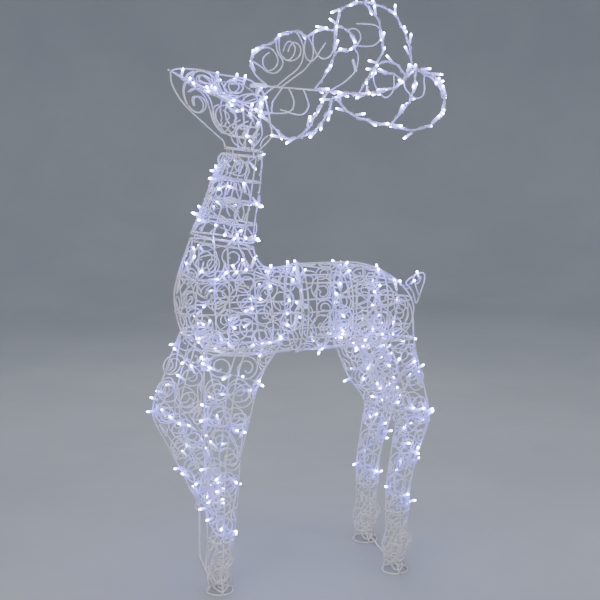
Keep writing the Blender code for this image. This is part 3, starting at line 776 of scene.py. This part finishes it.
NECK_CURLS = curves("""
-191 1121 -200 1117 -206 1106 -202 1092 -194 1100 -188 1112 -191 1120; -168 1115 -180 1104 -193 1090
-203 1074 -211 1063 -225 1043; -180 1117 -176 1111 -168 1106 -157 1103 -141 1096; -158 1073
-169 1081 -170 1093 -161 1103 -152 1098 -154 1087 -163 1079; -168 1115 -156 1107 -146 1096 -141 1083
-147 1071 -160 1066 -178 1070; -230 1026 -217 1037 -205 1050 -208 1057 -218 1051 -226 1040
-229 1028; -238 1018 -228 1003 -220 989; -245 1008 -239 991 -238 979; -253 978 -241 982 -231 975
-226 967 -243 970 -253 976; -206 1007 -196 994 -182 981 -173 972; -202 1011 -188 994 -179 985
-167 976; -203 1011 -187 1013 -174 1008 -164 1000 -184 1004 -202 1009; -163 1000 -172 984 -170 968
-163 953; -163 1000 -156 987 -154 971 -161 953; -222 966 -212 967 -200 958 -189 947 -176 940
-158 940; -225 964 -212 955 -200 947 -186 942; -216 956 -224 941 -235 932 -246 922; -208 946
-204 932 -195 922 -183 914; -262 928 -253 943 -246 953 -238 964; -275 938 -264 951 -254 958 -251 952
-265 943; -136 981 -148 967 -152 953 -145 936 -130 917; -187 1010 -180 1032 -176 1048 -181 1060
-195 1063; -196 1020 -187 1038 -181 1055; -163 1000 -166 1013 -170 1025 -173 1048; -140 1096
-136 1078 -142 1063 -146 1047 -139 1031 -135 1008; -217 1076 -212 1067 -200 1065 -191 1073
-190 1087; -237 1011 -225 1025 -212 1032 -207 1022 -217 1011; -181 940 -177 924 -188 912; -154 940
-165 917
""")
NECK_REAR_LOOPS = curves("""
-102 1100 -95 1107 -91 1093 -93 1076 -99 1062; -103 1020 -100 1014 -98 1000 -101 988 -106 979;
-112 946 -107 934 -108 918 -115 903
""")
CHEST_CURLS = curves("""
-245 832 -249 840 -248 849 -242 857 -233 857 -226 849 -228 839 -235 829 -246 822 -257 822 -268 828
-274 838 -275 848 -271 856 -263 863 -252 867 -240 870 -231 866 -223 859 -220 848 -222 837 -228 826
-235 819 -244 815 -252 818 -258 825 -260 839 -257 852; -276 800 -263 797 -248 800 -233 806 -222 816
-212 829 -207 842 -208 855; -268 778 -262 787 -251 794 -236 799 -222 806 -213 816 -206 827; -205 849
-202 833 -197 820 -188 807 -178 797 -164 790 -147 787; -254 759 -253 767 -245 776 -235 781 -225 781
-213 775 -206 765 -202 756 -206 746 -217 740 -225 736 -235 733 -245 735 -252 743 -257 754; -258 772
-251 785 -242 793 -231 797 -219 798 -207 792 -200 783 -195 771; -240 760 -232 762 -225 762 -219 755
-218 749 -223 744 -233 742 -241 749 -244 759 -243 771; -288 754 -292 758 -297 751 -300 743 -304 737
-306 747 -302 761 -295 772 -286 775 -276 773 -267 768 -258 759; -307 814 -300 815 -290 810 -281 803
-276 794 -269 782 -266 773; -301 734 -290 732 -284 740 -281 748 -277 752; -195 771 -187 780 -176 785
-163 783 -153 775 -150 763 -155 750 -163 741 -172 738 -177 745 -179 756 -173 769; -161 801 -180 785
-195 769 -202 756 -209 743 -217 730 -224 716; -301 802 -309 788 -312 775 -307 765 -299 782 -290 793
-286 782; -146 782 -156 790 -166 808 -173 825 -167 843 -156 849 -145 841 -145 829
""")
FAR_CHEST_SCROLLS = scrolls("""
-236 846 38 -230 758 -34
-160 845 31 -172 752 31
-276 742 26 -278 800 -24 1.7
""")
BODY_SCROLLS = scrolls("""
-262 690 -28 -238 640 24
-174 672 31 -116 655 30
-118 770 31 -60 748 32
-40 790 28 -40 695 32
-190 712 22 -112 712 27 1.6
-205 630 22 -160 622 -18 1.6
lone -44 640 30 2.0 0.8 -1
""")
REAR_SCROLLS = scrolls("""
48 770 34 48 680 35
92 790 24 98 735 26
152 758 42 153 668 41
226 742 -32 218 682 30
276 712 28 262 655 30
112 634 27 104 690 -26 1.7
lone 48 634 26 1.7 0.4 -1
lone 206 632 27 1.8 2.0 1
lone 190 786 22 1.7 3.0 1
""")
FRONT_LEG_SCROLLS = scrolls("""
-240 600 32 -174 592 32
lone -124 616 21 1.7 3.4 -1
-246 534 -28 -184 520 33
-240 470 30 -194 455 -29
-242 408 32 -212 354 28
-250 328 -26 -222 286 29
-240 236 34 -236 184 -29
-236 138 30 -241 94 30
-243 50 27 -241 26 -20 1.5
""")
RAISED_LEG_SCROLLS = scrolls("""
-264 606 32 -246 562 -28
-306 545 33 -256 508 29
-326 482 31 -274 456 -31
-334 420 -26 -296 380 31
-244 404 22 -262 344 31
-292 318 28 -240 288 30
-256 250 31 -226 204 28
lone -221 172 22 1.7 1.2 1
""")
REAR_LEG_SCROLLS = scrolls("""
178 690 31 238 702 32
174 622 31 234 640 -34
262 592 31 204 566 34
234 528 -32 286 528 31
244 474 31 292 462 -28
264 412 28 304 400 26
260 356 30 282 316 -24
254 292 31 250 240 -31
246 184 33 246 134 28
254 90 27 234 68 -24 1.7
lone 242 26 21 1.5 0.6 1
""")


def chain(start, end, count, half):
    """S-scrolls in a row for a narrow face: flat (across, along) points between two heights."""
    bends, gap = [], (end - start) / count
    for k in range(count):
        middle = start + gap * (k + 0.5)
        radius = min(abs(gap) * 0.30, half(middle) * 0.72)
        sway = half(middle) * 0.20 * (1 if k % 2 else -1)
        bends.append(scroll((-sway, middle - gap * 0.25, radius),
                            (sway, middle + gap * 0.25, radius), 1.7))
    return bends


def dome(reach):
    """How far a rounded face has left of its height at this share of its half width."""
    share = max(-0.97, min(0.97, reach))
    return math.sqrt(1 - share * share)


def tube_face(flat, stations, way, middle):
    """Bends laid on a tube's front (way -1) or rear (way 1) face from flat (y, z) points."""
    profile, path = tube_profile(stations), []
    for y, z in flat:
        front, rear, half = profile(z)
        reach = (rear - front) / 2 - INSET
        path.append(Vector(((front + rear) / 2 + way * reach * dome(y / half), middle + y, z)))
    return path


def chest_face(flat):
    """Bends laid on the front of the chest from flat (y, z) points."""
    path = []
    for y, z in flat:
        front = at(z, "612 -255 656 -304 745 -325 813 -315 904 -282")
        path.append(Vector((front + INSET + 0.10 * (1 - dome(y / 0.078)), y, z)))
    return path


def body_face(flat, way):
    """Bends laid on the body's back (way 1) or belly (way -1) from flat (y, x) points."""
    path = []
    for y, x in flat:
        top = at(x, "-85 824 -50 822 35 829 135 828 191 820 248 796 292 764")
        low = at(x, "-255 612 -185 594 35 597 220 600 280 610")
        half = at(x, "-255 60 -120 86 140 86 230 74 300 42")
        reach = (top - low) / 2 - INSET
        path.append(Vector((x, y, (top + low) / 2 + way * reach * dome(y / half))))
    return path


# ---- lamps ----

# profiles: distance from the base and radius
HOLDER_PROFILE = points("0 1.6 1 3 4 3.4 5.5 3 12 2.8 19 3 20.5 3.4") + [(HOLDER_LENGTH, 0.0032)]
HOLDER_GLOW = [0.0, 0.05, 0.1, 0.2, 0.45, 0.8, 1.0, 1.0]
TIP_PROFILE = points("0 2.7 3 2.8 5 2.5 6.4 1.7 7.1 0.6")
TIP_GLOW = [0.0, 0.35, 0.8, 1.0, 1.0]
MOST_Y = 0.180


def add_lamp(holders, tips, base, way):
    """A lamp in its holder, from base along way, turned in where it would stand proud."""
    tip = base + way * (HOLDER_LENGTH + TIP_PROFILE[-1][0])
    if abs(tip.y) > MOST_Y:
        way = Vector((way.x, -0.4 * way.y, way.z)).normalized()
    LAMPS.append(tuple(base + way * HOLDER_LENGTH * 0.8))
    holders.turned(base, way, HOLDER_PROFILE, 10, HOLDER_GLOW)
    tips.turned(base + way * (HOLDER_LENGTH - 0.0004), way, TIP_PROFILE, 10, TIP_GLOW)


def lamp_way(out, rng, lift, wander):
    way = out + Vector((rng.uniform(-1, 1), rng.uniform(-1, 1), rng.uniform(-1, 1))) * wander
    way.z += lift
    return way.normalized()


# ---- light that the lamps throw on the wires round them ----

LAMPS, LIT_LATER = [], []
GLOW_REACH, GLOW_FALL, GLOW_GAIN = 0.019, 1.9, 1.25


def add_lit_pieces():
    """The wires of every section, each point with the light that reaches it from the lamps."""
    lamps = np.array(LAMPS)
    for shape, name, body, look, replaced in LIT_LATER:
        verts = np.concatenate(shape.verts)
        light = np.zeros(len(verts))
        for lamp in lamps:
            gap = np.abs(verts - lamp).max(axis=1)
            near = np.flatnonzero(gap < 6 * GLOW_REACH)
            away = ((verts[near] - lamp) ** 2).sum(axis=1) / GLOW_REACH ** 2
            light[near] += (1 + away) ** -GLOW_FALL
        shape.glow = [1 - np.exp(-GLOW_GAIN * light)]
        shape.piece(name, body, look, "white_wire", replaced)


# ---- building one section ----

WELD_REACH, SCROLL_WELD_REACH = 0.0040, 0.0044   # how near two wires' middles come at a weld
BEADS_APART, SCROLL_BEADS_APART, CLEAR_OF_BEADS = 0.010, 0.016, 0.012

def steps_along(wires):
    """Close points along each wire, with the wire's number."""
    return [(number, point) for number, w in enumerate(wires)
            for point in resampled(w["path"] + w["path"][:w["closed"]], 0.0030)]


def touching(wires, others, reach, apart):
    """Where wires meet others (or each other): the places of a section's weld beads."""
    spots = steps_along(others)
    tree = kdtree.KDTree(len(spots))
    for index, (_, point) in enumerate(spots):
        tree.insert(point, index)
    tree.balance()
    found = []
    for number, point in steps_along(wires):
        for other, index, gap in tree.find_range(point, reach):
            if others is not wires or spots[index][0] > number:
                found.append((gap, tuple((Vector(point) + other) / 2)))
    beads = []
    for _, place in sorted(found):
        if all(math.dist(place, bead) > apart for bead in beads):
            beads.append(place)
    return beads


def wound(path, reach, pitch, steps, phases=(0.0,)):
    """Points that wind round the path, a list for each phase."""
    pts = resampled(path, pitch / steps)
    _, ups, across = frames_along(pts)
    gaps = np.linalg.norm(np.diff(pts, axis=0), axis=1)
    turns = 2 * math.pi * np.concatenate([[0], np.cumsum(gaps)]) / pitch
    return [pts + reach * (ups * np.cos(turns + phase)[:, None]
                           + across * np.sin(turns + phase)[:, None]) for phase in phases]


def add_string(name, route, body, replaced, holders, tips):
    """Two strands of light cable twisted round each other along the route, with their lamps."""
    cable = Shape()
    for strand in wound(route, TWIST_R, TWIST_PITCH, 7, (0.0, math.pi)):
        cable.tube(strand, STRAND_R, 5)
    cable.piece(name + "_light_string", body, CABLE_MAT, "cable_jacket", replaced)
    holders.piece(name + "_lamp_holders", body, HOLDER_MAT, "clear_plastic")
    tips.piece(name + "_lamps", body, TIP_MAT, "clear_plastic")


def add_frame(name, wires, body, replaced):
    shape = Shape()
    for w in wires:
        shape.tube(w["path"], w["radius"], 10, w["closed"])
    LIT_LATER.append((shape, name + "_wires", body, WIRE_MAT, replaced))


def add_scrolls(name, paths, body, wires):
    rng = random.Random(name)
    shape = Shape()
    for path in paths:
        shape.tube(path, SCROLL_R, 7)
    LIT_LATER.append((shape, name + "_scrollwork", body, SCROLL_MAT, []))
    beads = Shape()
    spots = touching(wires, wires, WELD_REACH, BEADS_APART)
    for place in spots:
        beads.blob(place, BEAD_R * rng.uniform(0.85, 1.15), rng)
    for place in touching([raw_wire(path, SCROLL_R) for path in paths], wires, SCROLL_WELD_REACH,
                          SCROLL_BEADS_APART):
        if all(math.dist(place, spot) > CLEAR_OF_BEADS for spot in spots):
            beads.blob(place, BEAD_R * rng.uniform(0.66, 0.80), rng)
    beads.piece(name + "_weld_beads", body, WELD_MAT, "white_wire")


def add_lights(name, route, gap, line, seed, lift=0.25, wander=0.75, without=()):
    """A section's light string, with lamps at this spacing that point away from its middle line."""
    rng, outward = random.Random(seed), from_line(*line)
    holders, tips = Shape(), Shape()
    for number, spot in enumerate(resampled(route, gap)):
        spot = Vector(spot)
        way = lamp_way(outward(spot), rng, lift, wander)
        if number not in without:
            add_lamp(holders, tips, spot + way * 0.002, way)
    cable = name + "_light_cable"
    add_string(name, route, DEER, [cable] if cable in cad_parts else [], holders, tips)


def from_line(a, b):
    """Directions away from the line from a to b."""
    a, b = Vector(a), Vector(b)
    axis = (b - a).normalized()

    def out(spot):
        away = spot - a
        away -= away.dot(axis) * axis
        return away.normalized()
    return out


# along the left cheek, up and over the crown, back along the right cheek to the neck
HEAD_CABLE = points("""
-300 -4 1306 -255 -20 1279 -183 -33 1250 -125 -37 1222 -108 -32 1238 -114 -20 1266 -135 -6 1287
-175 3 1297 -215 9 1297 -226 16 1279 -186 30 1253 -130 36 1221 -100 33 1190 -98 26 1160 -105 18 1138
""", 3)
IN_THE_LEFT_ANTLER = (13,)  # the number of the head's lamp that would stand in the antler's wires
LIT_FROM_Z = 0.135


def build_head():
    wires = head_wires()
    add_frame("head", wires, DEER, ["head_frame"])
    paths = [on_skin(flat_curve(f), head_skin, s) for f in HEAD_CURLS for s in (-1, 1)]
    add_scrolls("head", paths, DEER, wires)
    add_lights("head", smooth(HEAD_CABLE, 8), 0.021, xyz("-330 0 1320 -120 0 1200"), 11,
               without=IN_THE_LEFT_ANTLER)


def build_neck():
    wires = neck_wires()
    add_frame("neck", wires, DEER, ["neck_frame"])
    skin = tube_skin(NECK)
    paths = [on_skin(flat_curve(f), skin, -1) for f in NECK_CURLS]
    paths += [on_skin(flat_curve(f), skin, 1) for f in NECK_CURLS[::2]]
    width = lambda z: 0.5 * along(z, [(0.90, 0.074), (1.11, 0.041)])
    paths += [tube_face(f, NECK, -1, 0.0) for f in chain(0.925, 1.110, 3, width)]
    paths += [smooth([(x, 0.0, z) for x, z in loop], 8) for loop in NECK_REAR_LOOPS]
    add_scrolls("neck", paths, DEER, wires)
    add_lights("neck", spiral(NECK, 2, 0.3, 30, 0.011), 0.026, xyz("-140 0 1110 -200 0 900"), 12)


CABLE_INSIDE = 0.008         # how far a body cable starts from the end ring
FRONT_BODY_CABLE = [BODY_NECK_RING, *points("""
-322 755 -105 842 80 0
-275 630 -75 822 80 0
-130 597 -45 823 78 0
""", 6), barrel_ring(FRONT_END_X - CABLE_INSIDE)]
REAR_BODY_CABLE = [barrel_ring(REAR_START_X + CABLE_INSIDE), SECOND_BARREL_RING, *points("""
220 600 235 803 70 0
285 620 285 765 36 0
""", 6)]
FACE_HALF, LEG_FACE_HALF = 0.045, 0.028


def build_bodies():
    halves = {"front_body": (front_body_wires(), BODY_SCROLLS),
              "rear_body": (rear_body_wires(), REAR_SCROLLS)}
    faces = {"front_body": [(-1, -0.245, -0.01, 3), (1, -0.095, -0.01, 1)],
             "rear_body": [(-1, 0.015, 0.27, 3), (1, 0.015, 0.27, 3)]}
    for name, (wires, flats) in halves.items():
        add_frame(name, wires, DEER, [name + "_frame"])
        paths = [on_skin(f, body_skin, s) for f in flats for s in (-1, 1)]
        for way, start, end, count in faces[name]:
            paths += [body_face(f, way) for f in chain(start, end, count, lambda x: FACE_HALF)]
        if name == "front_body":
            paths += [on_skin(flat_curve(f), body_skin, -1) for f in CHEST_CURLS]
            paths += [on_skin(f, body_skin, 1) for f in FAR_CHEST_SCROLLS]
            paths += [chest_face(f) for f in chain(0.640, 0.885, 3, lambda z: FACE_HALF)]
        add_scrolls(name, paths, DEER, wires)
    add_lights("front_body", spiral(FRONT_BODY_CABLE, 3, 0.6, 40, 0.020), 0.032,
               xyz("-260 0 800 0 0 713"), 13)
    add_lights("rear_body", spiral(REAR_BODY_CABLE, 3, 0.4, 38, 0.014), 0.032,
               xyz("0 0 713 300 0 700"), 14)


def build_legs():
    flats = {"front_leg_left": FRONT_LEG_SCROLLS, "front_leg_right": RAISED_LEG_SCROLLS,
             "rear_leg_left": REAR_LEG_SCROLLS, "rear_leg_right": REAR_LEG_SCROLLS}
    for number, (name, (rows, side, _)) in enumerate(LEGS.items()):
        wires = leg_wires(name)
        add_frame(name, wires, DEER, [name + "_frame"])
        stations = leg_stations(rows, side)
        skin = tube_skin(stations)
        if rows is REAR_LEG:  # the haunch above the leg is flat
            skin = lambda x, z, leg=skin: leg(x, min(z, LEG_TOP_Z)) if z < 0.66 else 0.012
        lowest = stations[-1][1]
        paths = [on_skin(f, skin, side, side * HOOF_Y) for f in flats[name]]
        paths += [on_skin(f, skin, -side, side * HOOF_Y) for f in flats[name][2:]]
        for way in (-1, 1):
            paths += [tube_face(f, stations, way, side * HOOF_Y)
                      for f in chain(lowest + 0.01, LEG_TOP_Z, 4, lambda z: LEG_FACE_HALF)]
        add_scrolls(name, paths, DEER, wires)
        lit = [s for s in stations if s[1] > LIT_FROM_Z]
        line = [((s[0] + s[2]) / 2, side * HOOF_Y, z)
                for s, z in ((stations[0], stations[0][1]), (stations[-1], 0.0))]
        add_lights(name, spiral(lit, 4, 0.5, 38, 0.0095), 0.031, line, 20 + number)


def build_rods():
    low, over = ROD_R, 2 * RING_R + ROD_R + GAP
    raised = leg_stations(RAISED_LEG, 1)[-1]
    coarse = ring_path(raised, 10)
    on_ring, run = nearest_on(coarse, ring_point(raised, math.radians(195)))
    stand = on_ring + Vector((0, 0, 1)).cross(run) * (RING_R + ROD_R + GAP)
    path = filleted([(stand.x, stand.y, RAISED_HOOF_Z + ROD_LAP), (stand.x, stand.y, low),
                     (-0.253, -0.054, low), (-0.254, -0.070, over), (-0.256, -0.118, over)],
                    ROD_BEND)
    add_frame("front_stand_rod", [raw_wire(path, ROD_R)], DEER, ["front_stand_rod"])
    half = [(0.256, -0.118, over), (0.256, -0.070, over), (0.256, -0.054, low)]
    rear = filleted(half + mirrored(half)[::-1], ROD_BEND)
    add_frame("rear_foot_brace", [raw_wire(rear, ROD_R)], DEER, ["rear_foot_brace"])


def build_tail():
    wires = tail_wires()
    add_frame("tail", wires, DEER, ["tail_loop"])
    add_scrolls("tail", [smooth(in_plane("344 783 352 776 347 764 339 760"), 6)], DEER, wires)
    string = smooth(xyz("296 3 757 316 4 757 334 4 764 350 3 772"), 8)
    add_lights("tail", string, 0.026, xyz("300 20 740 360 20 750"), 31, 0.3, 0.5)


# ---- antlers ----

class AntlerPlane:
    def __init__(self, side, beam, lift_deg):
        self.origin = Vector((SOCKET_X, side * SOCKET_Y, SOCKET_Z))
        self.along = Vector(beam).normalized()
        outward = Vector((0, side, 0))
        outward = (outward - outward.dot(self.along) * self.along).normalized()
        upward = self.along.cross(outward) * side
        lift = math.radians(lift_deg)
        self.across = outward * math.cos(lift) + upward * math.sin(lift)
        self.normal = self.along.cross(self.across)

    def points(self, pairs, offset=0.0):
        return [self.origin + self.along * s + self.across * d + self.normal * offset
                for s, d in pairs]


RIGHT_BEAM = points("0 0 200 -8 280 -14 343 -10 427 17 471 68")
RIGHT_LOBES = points("""
20 -1 -18 35 -18 80 13 105 43 113 84 142 125 147 152 137 190 158 236 160 258 208 293 231 335 239
388 232 434 209 461 160 473 113 471 68
""")
RIGHT_BRANCHES = curves("""
236 160 226 89 203 46 155 -5; 335 239 374 198 384 148 380 105 344 53 290 -13
""")
RIGHT_LINKS = curves("""
240 168 272 161 286 147 300 128 301 118 284 109 265 100 249 104 227 92; 345 53 386 45 409 43 438 27
""")
RIGHT_CURLS = curves("""
44 0 75 23 103 42 123 63 132 89 134 109 128 128 119 146; 58 0 93 22 126 43 148 64 160 83 163 107
158 122 150 138; 147 138 137 106 137 86 143 74 154 70 169 80 185 100 203 121; 169 146 164 119
167 102 175 86 192 78 210 84 224 101 232 122 239 143; 65 129 62 98 68 80 84 70 100 81 109 100
104 115 93 120 81 110 73 93; 87 93 95 108 108 118 121 112 126 99 119 82 103 71 85 69 69 75 59 86
55 99 55 121; -17 78 8 96 27 101 43 95 53 79 53 62 42 47 24 40 13 49 10 64 17 78 32 88; 57 86 67 71
68 60 58 44 39 34 19 38 5 49 -17 62; 306 178 343 179 369 176 381 160 379 142 362 125 341 118 322 117
301 118; 275 159 292 164 306 161 314 151 313 136 302 121; 291 111 300 94 298 72 289 53 278 39 255 21
236 10 203 -6; 343 51 342 23 348 3 360 -14 375 -22 393 -12 405 7 409 41
""")
LEFT_BEAM = points("0 0 161 -10 225 -13 276 -26 335 -68 374 -150")
LEFT_LOBES = points("""
22 -5 -10 48 -6 100 30 152 64 182 104 164 138 125 163 50 172 10 208 57 245 78 327 91 370 96 415 70
445 26 458 -34 447 -102 410 -137 362 -134
""")
LEFT_BRANCHES = curves("""
386 -146 378 -77 367 -17 340 42 312 90; 255 -19 258 -80 284 -142 325 -158 358 -112
""")
LEFT_LINKS = curves("""
155 -9 138 47 125 90 116 126 102 152 86 172; 378 -146 414 -124 435 -104 448 -72 457 -36
""")
LEFT_CURLS = curves("""
40 -3 29 27 20 52 18 80 18 96 -4 106; 56 -4 68 27 72 49 70 70 61 84 46 92 23 96 -6 96; 94 -6 105 30
109 53 104 74 93 88 81 90 66 88 52 83 39 80; 356 -114 353 -88 355 -63 365 -45 378 -30 389 -30
401 -43 406 -70 405 -104 409 -136
""")
ANTLERS = {
    "right": {
        "body": RIGHT_ANTLER,
        "plane": AntlerPlane(1, (1, 0.22, -0.03), 75),
        "beam": RIGHT_BEAM,
        "lobes": RIGHT_LOBES,
        "branches": RIGHT_BRANCHES,
        "links": RIGHT_LINKS,
        "curls": RIGHT_CURLS,
    },
    "left": {
        "body": LEFT_ANTLER,
        "plane": AntlerPlane(-1, (1, -0.25, -0.13), -42),
        "beam": LEFT_BEAM,
        "lobes": LEFT_LOBES,
        "branches": LEFT_BRANCHES,
        "links": LEFT_LINKS,
        "curls": LEFT_CURLS,
    },
}


LOOSE_SHARE = 0.22           # how many of the antler lamps lean away from their wire
ANTLER_STRING_REACH, ANTLER_STRING_PITCH = RING_R + 2 * STRAND_R + 0.0006, 0.046


def build_antler(side, data):
    plane, body, name = data["plane"], data["body"], f"antler_{side}"
    beam = smooth(plane.points(data["beam"]), 8)
    lobes = smooth(plane.points(data["lobes"]), 6)
    branches = [smooth(plane.points(p, 0.0005 * (n + 1)), 8)
                for n, p in enumerate(data["branches"])]
    wires = [raw_wire(plane.points([(-PIN, 0)]) + beam), raw_wire(lobes, RING_R)]
    branches += [smooth(plane.points(p, 0.0010), 8) for p in data["links"]]
    wires += [raw_wire(b) for b in branches]
    add_frame(name, wires, body, [name])
    add_scrolls(name, [smooth(plane.points(p, 0.0015), 6) for p in data["curls"]], body, wires)
    rng = random.Random(side)
    strings = {"outline": (lobes[6:], [f"antler_light_cable_{side}"], 0.034),
               "beam": (beam[6:], [f"antler_beam_cable_{side}"], 0.040)}
    for n, branch in enumerate(branches):
        strings[f"branch_{n + 1}"] = (branch[2:-2], [], 0.040)
    for word, (path, replaced, gap) in strings.items():
        route = [Vector(p) for p in wound(path, ANTLER_STRING_REACH, ANTLER_STRING_PITCH, 12)[0]]
        holders, tips = Shape(), Shape()
        spots = resampled(route, gap)
        for a, b in zip(spots, spots[1:]):
            run = Vector(b - a).normalized() * rng.choice((-1, 1))
            away = (plane.normal * rng.choice((-1, 1))
                    + run.cross(plane.normal) * rng.uniform(-0.9, 0.9))
            lean = 0.9 if rng.random() < LOOSE_SHARE else rng.uniform(0.12, 0.35)
            way = (run + away.normalized() * lean).normalized()
            add_lamp(holders, tips, Vector(a) + way * 0.003, way)
        add_string(f"{name}_{word}", route, body, replaced, holders, tips)


# ---- sleeves and ties ----

def round_sleeve(name, start, end, body, replaced):
    """A clear moulded sleeve with a rim at each end and an open bore."""
    start, end = Vector(start), Vector(end)
    length = (end - start).length
    bore, rim, outer = WIRE_R + GAP, 0.0052, 0.0049
    profile = [(0.0, bore), (0.0, rim), (0.0022, rim), (0.0030, outer), (length - 0.0030, outer),
               (length - 0.0022, rim), (length, rim), (length, bore)]
    shape = Shape()
    shape.turned(start, end - start, profile, 24, closed=True)
    shape.piece(name, body, SLEEVE_MAT, "clear_plastic", replaced, 35)


CABLE_JOINTS = [  # start and end, then how many times the usual girth
    ("-196 -41 1244 -172 -42 1224", 1.0), ("-98 -60 797 -86 -64 774", 1.0),
    ("-82 -58 802 -60 -62 790", 1.0), ("-4 -14 815 -6 -46 796", 1.5),
    ("-10 -73 746 -18 -74 720", 1.1), ("-18 -73 716 -25 -69 673", 1.5)]


def build_sleeves():
    inset = RING_R + GAP
    for name, angle in SLEEVE_PLACES.items():
        at = ring_point(barrel_ring(0), math.radians(angle))
        round_sleeve(f"body_sleeve_{name}_clear", (FRONT_END_X + inset, at.y, at.z),
                     (REAR_START_X - inset, at.y, at.z), DEER, [f"body_sleeve_{name}"])
    for side, data in ANTLERS.items():
        ends = data["plane"].points([(-PIN + 0.004, 0), (-COLLAR, 0)])
        round_sleeve(f"antler_socket_{side}_clear", *ends, DEER, [f"antler_socket_{side}"])


def joint_tube(shape, start, end, girth=1.0):
    """A clear moulded cable joint: a soft-edged tube with a waist."""
    start, end = Vector(start), Vector(end)
    length = (end - start).length
    profile = [(0.0, 0.0018), (0.0015, 0.0034), (0.004, 0.0040), (length * 0.42, 0.0036),
               (length * 0.58, 0.0036), (length - 0.004, 0.0040), (length - 0.0015, 0.0034),
               (length, 0.0018)]
    shape.turned(start, end - start, [(far, radius * girth) for far, radius in profile], 16)


def build_joints():
    """Clear cable joints: left cheek, withers, where the body halves meet, and right antler."""
    deer, antler = Shape(), Shape()
    for ends, girth in CABLE_JOINTS:
        joint_tube(deer, *xyz(ends), girth)
    joint_tube(antler, *ANTLERS["right"]["plane"].points([(0.281, 0.079), (0.287, 0.046)], 0.004))
    deer.piece("deer_cable_joints", DEER, SLEEVE_MAT, "clear_plastic")
    antler.piece("antler_right_cable_joint", RIGHT_ANTLER, SLEEVE_MAT, "clear_plastic")


def dress_ties():
    for name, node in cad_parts.items():
        if "_tie" in name and not node.hide_render:
            node.data.materials.clear()
            node.data.materials.append(TIE_MAT)


# ---- stage ----

def floor_look():
    look = Look("floor_mat")
    look.coloured(1.6, 3.0, (0.35, (0.36, 0.37, 0.385)), (0.65, (0.39, 0.40, 0.415)))
    look.rough(14.0, 4.0, 0.72, 0.86)
    return look.made


def build_stage():
    """A round floor that curves up into a plain wall on every side."""
    radius, bend, rise, sides = 6.5, 2.5, 5.5, 96
    profile = [(1.5, 0.0), (3.0, 0.0), (radius - bend, 0.0)]
    profile += [(radius - bend + bend * math.sin(a), bend - bend * math.cos(a))
                for a in np.linspace(0.1, math.pi / 2, 14)]
    profile.append((radius, rise))
    turns = [2 * math.pi * k / sides for k in range(sides)]
    verts = [(r * math.cos(a), r * math.sin(a), z) for r, z in profile for a in turns]
    faces = [tuple(range(sides))]
    faces += [face[:1] + face[:0:-1] for face in ring_faces(len(profile), sides)[:-2]]
    mesh = bpy.data.meshes.new("floor")
    mesh.from_pydata(verts, [], faces)
    mesh.shade_smooth()
    mesh.materials.append(floor_look())
    floor = bpy.data.objects.new("floor", mesh)
    bpy.context.scene.collection.objects.link(floor)


def soft_light(name, place, target, size, power, colour):
    data = bpy.data.lights.new(name, "AREA")
    data.shape = "RECTANGLE"
    data.size, data.size_y = size
    data.energy = power
    data.color = colour
    lamp = bpy.data.objects.new(name, data)
    lamp.location = place
    lamp.rotation_euler = (Vector(target) - Vector(place)).to_track_quat("-Z", "Y").to_euler()
    bpy.context.scene.collection.objects.link(lamp)


def build_lights_and_camera():
    world = bpy.data.worlds.new("studio")
    bpy.context.scene.world = world
    world.use_nodes = True
    background = world.node_tree.nodes["Background"]
    background.inputs["Color"].default_value = (0.80, 0.86, 1.0, 1.0)
    background.inputs["Strength"].default_value = 0.80
    soft_light("key", (-1.7, -1.7, 0.95), (0, 0, 0.8), (0.9, 1.5), 26, (1.0, 0.98, 0.97))
    soft_light("fill", (1.9, -1.3, 0.95), (0, 0, 0.8), (0.9, 1.5), 14, (0.86, 0.91, 1.0))
    soft_light("overhead", (0, 0, 5.0), (0, 0, 0), (5.0, 5.0), 60, (0.95, 0.97, 1.0))
    soft_light("rim", (0.4, 2.2, 2.2), (0, 0, 0.9), (1.6, 1.2), 18, (0.92, 0.95, 1.0))
    data = bpy.data.cameras.new("camera")
    data.lens, data.sensor_width = 74.2, 36.0
    camera = bpy.data.objects.new("camera", data)
    camera.location = Vector((-0.916, -3.073, 1.305)) + SHIFT
    pitch = math.radians(10.12)
    way = Vector((0.2886 * math.cos(pitch), 0.9574 * math.cos(pitch), -math.sin(pitch)))
    camera.rotation_euler = way.to_track_quat("-Z", "Y").to_euler()
    bpy.context.scene.collection.objects.link(camera)
    bpy.context.scene.camera = camera


build_stage()
build_lights_and_camera()
build_head()
build_neck()
build_bodies()
build_legs()
build_rods()
build_tail()
for word, facts in ANTLERS.items():
    build_antler(word, facts)
add_lit_pieces()
build_sleeves()
build_joints()
dress_ties()
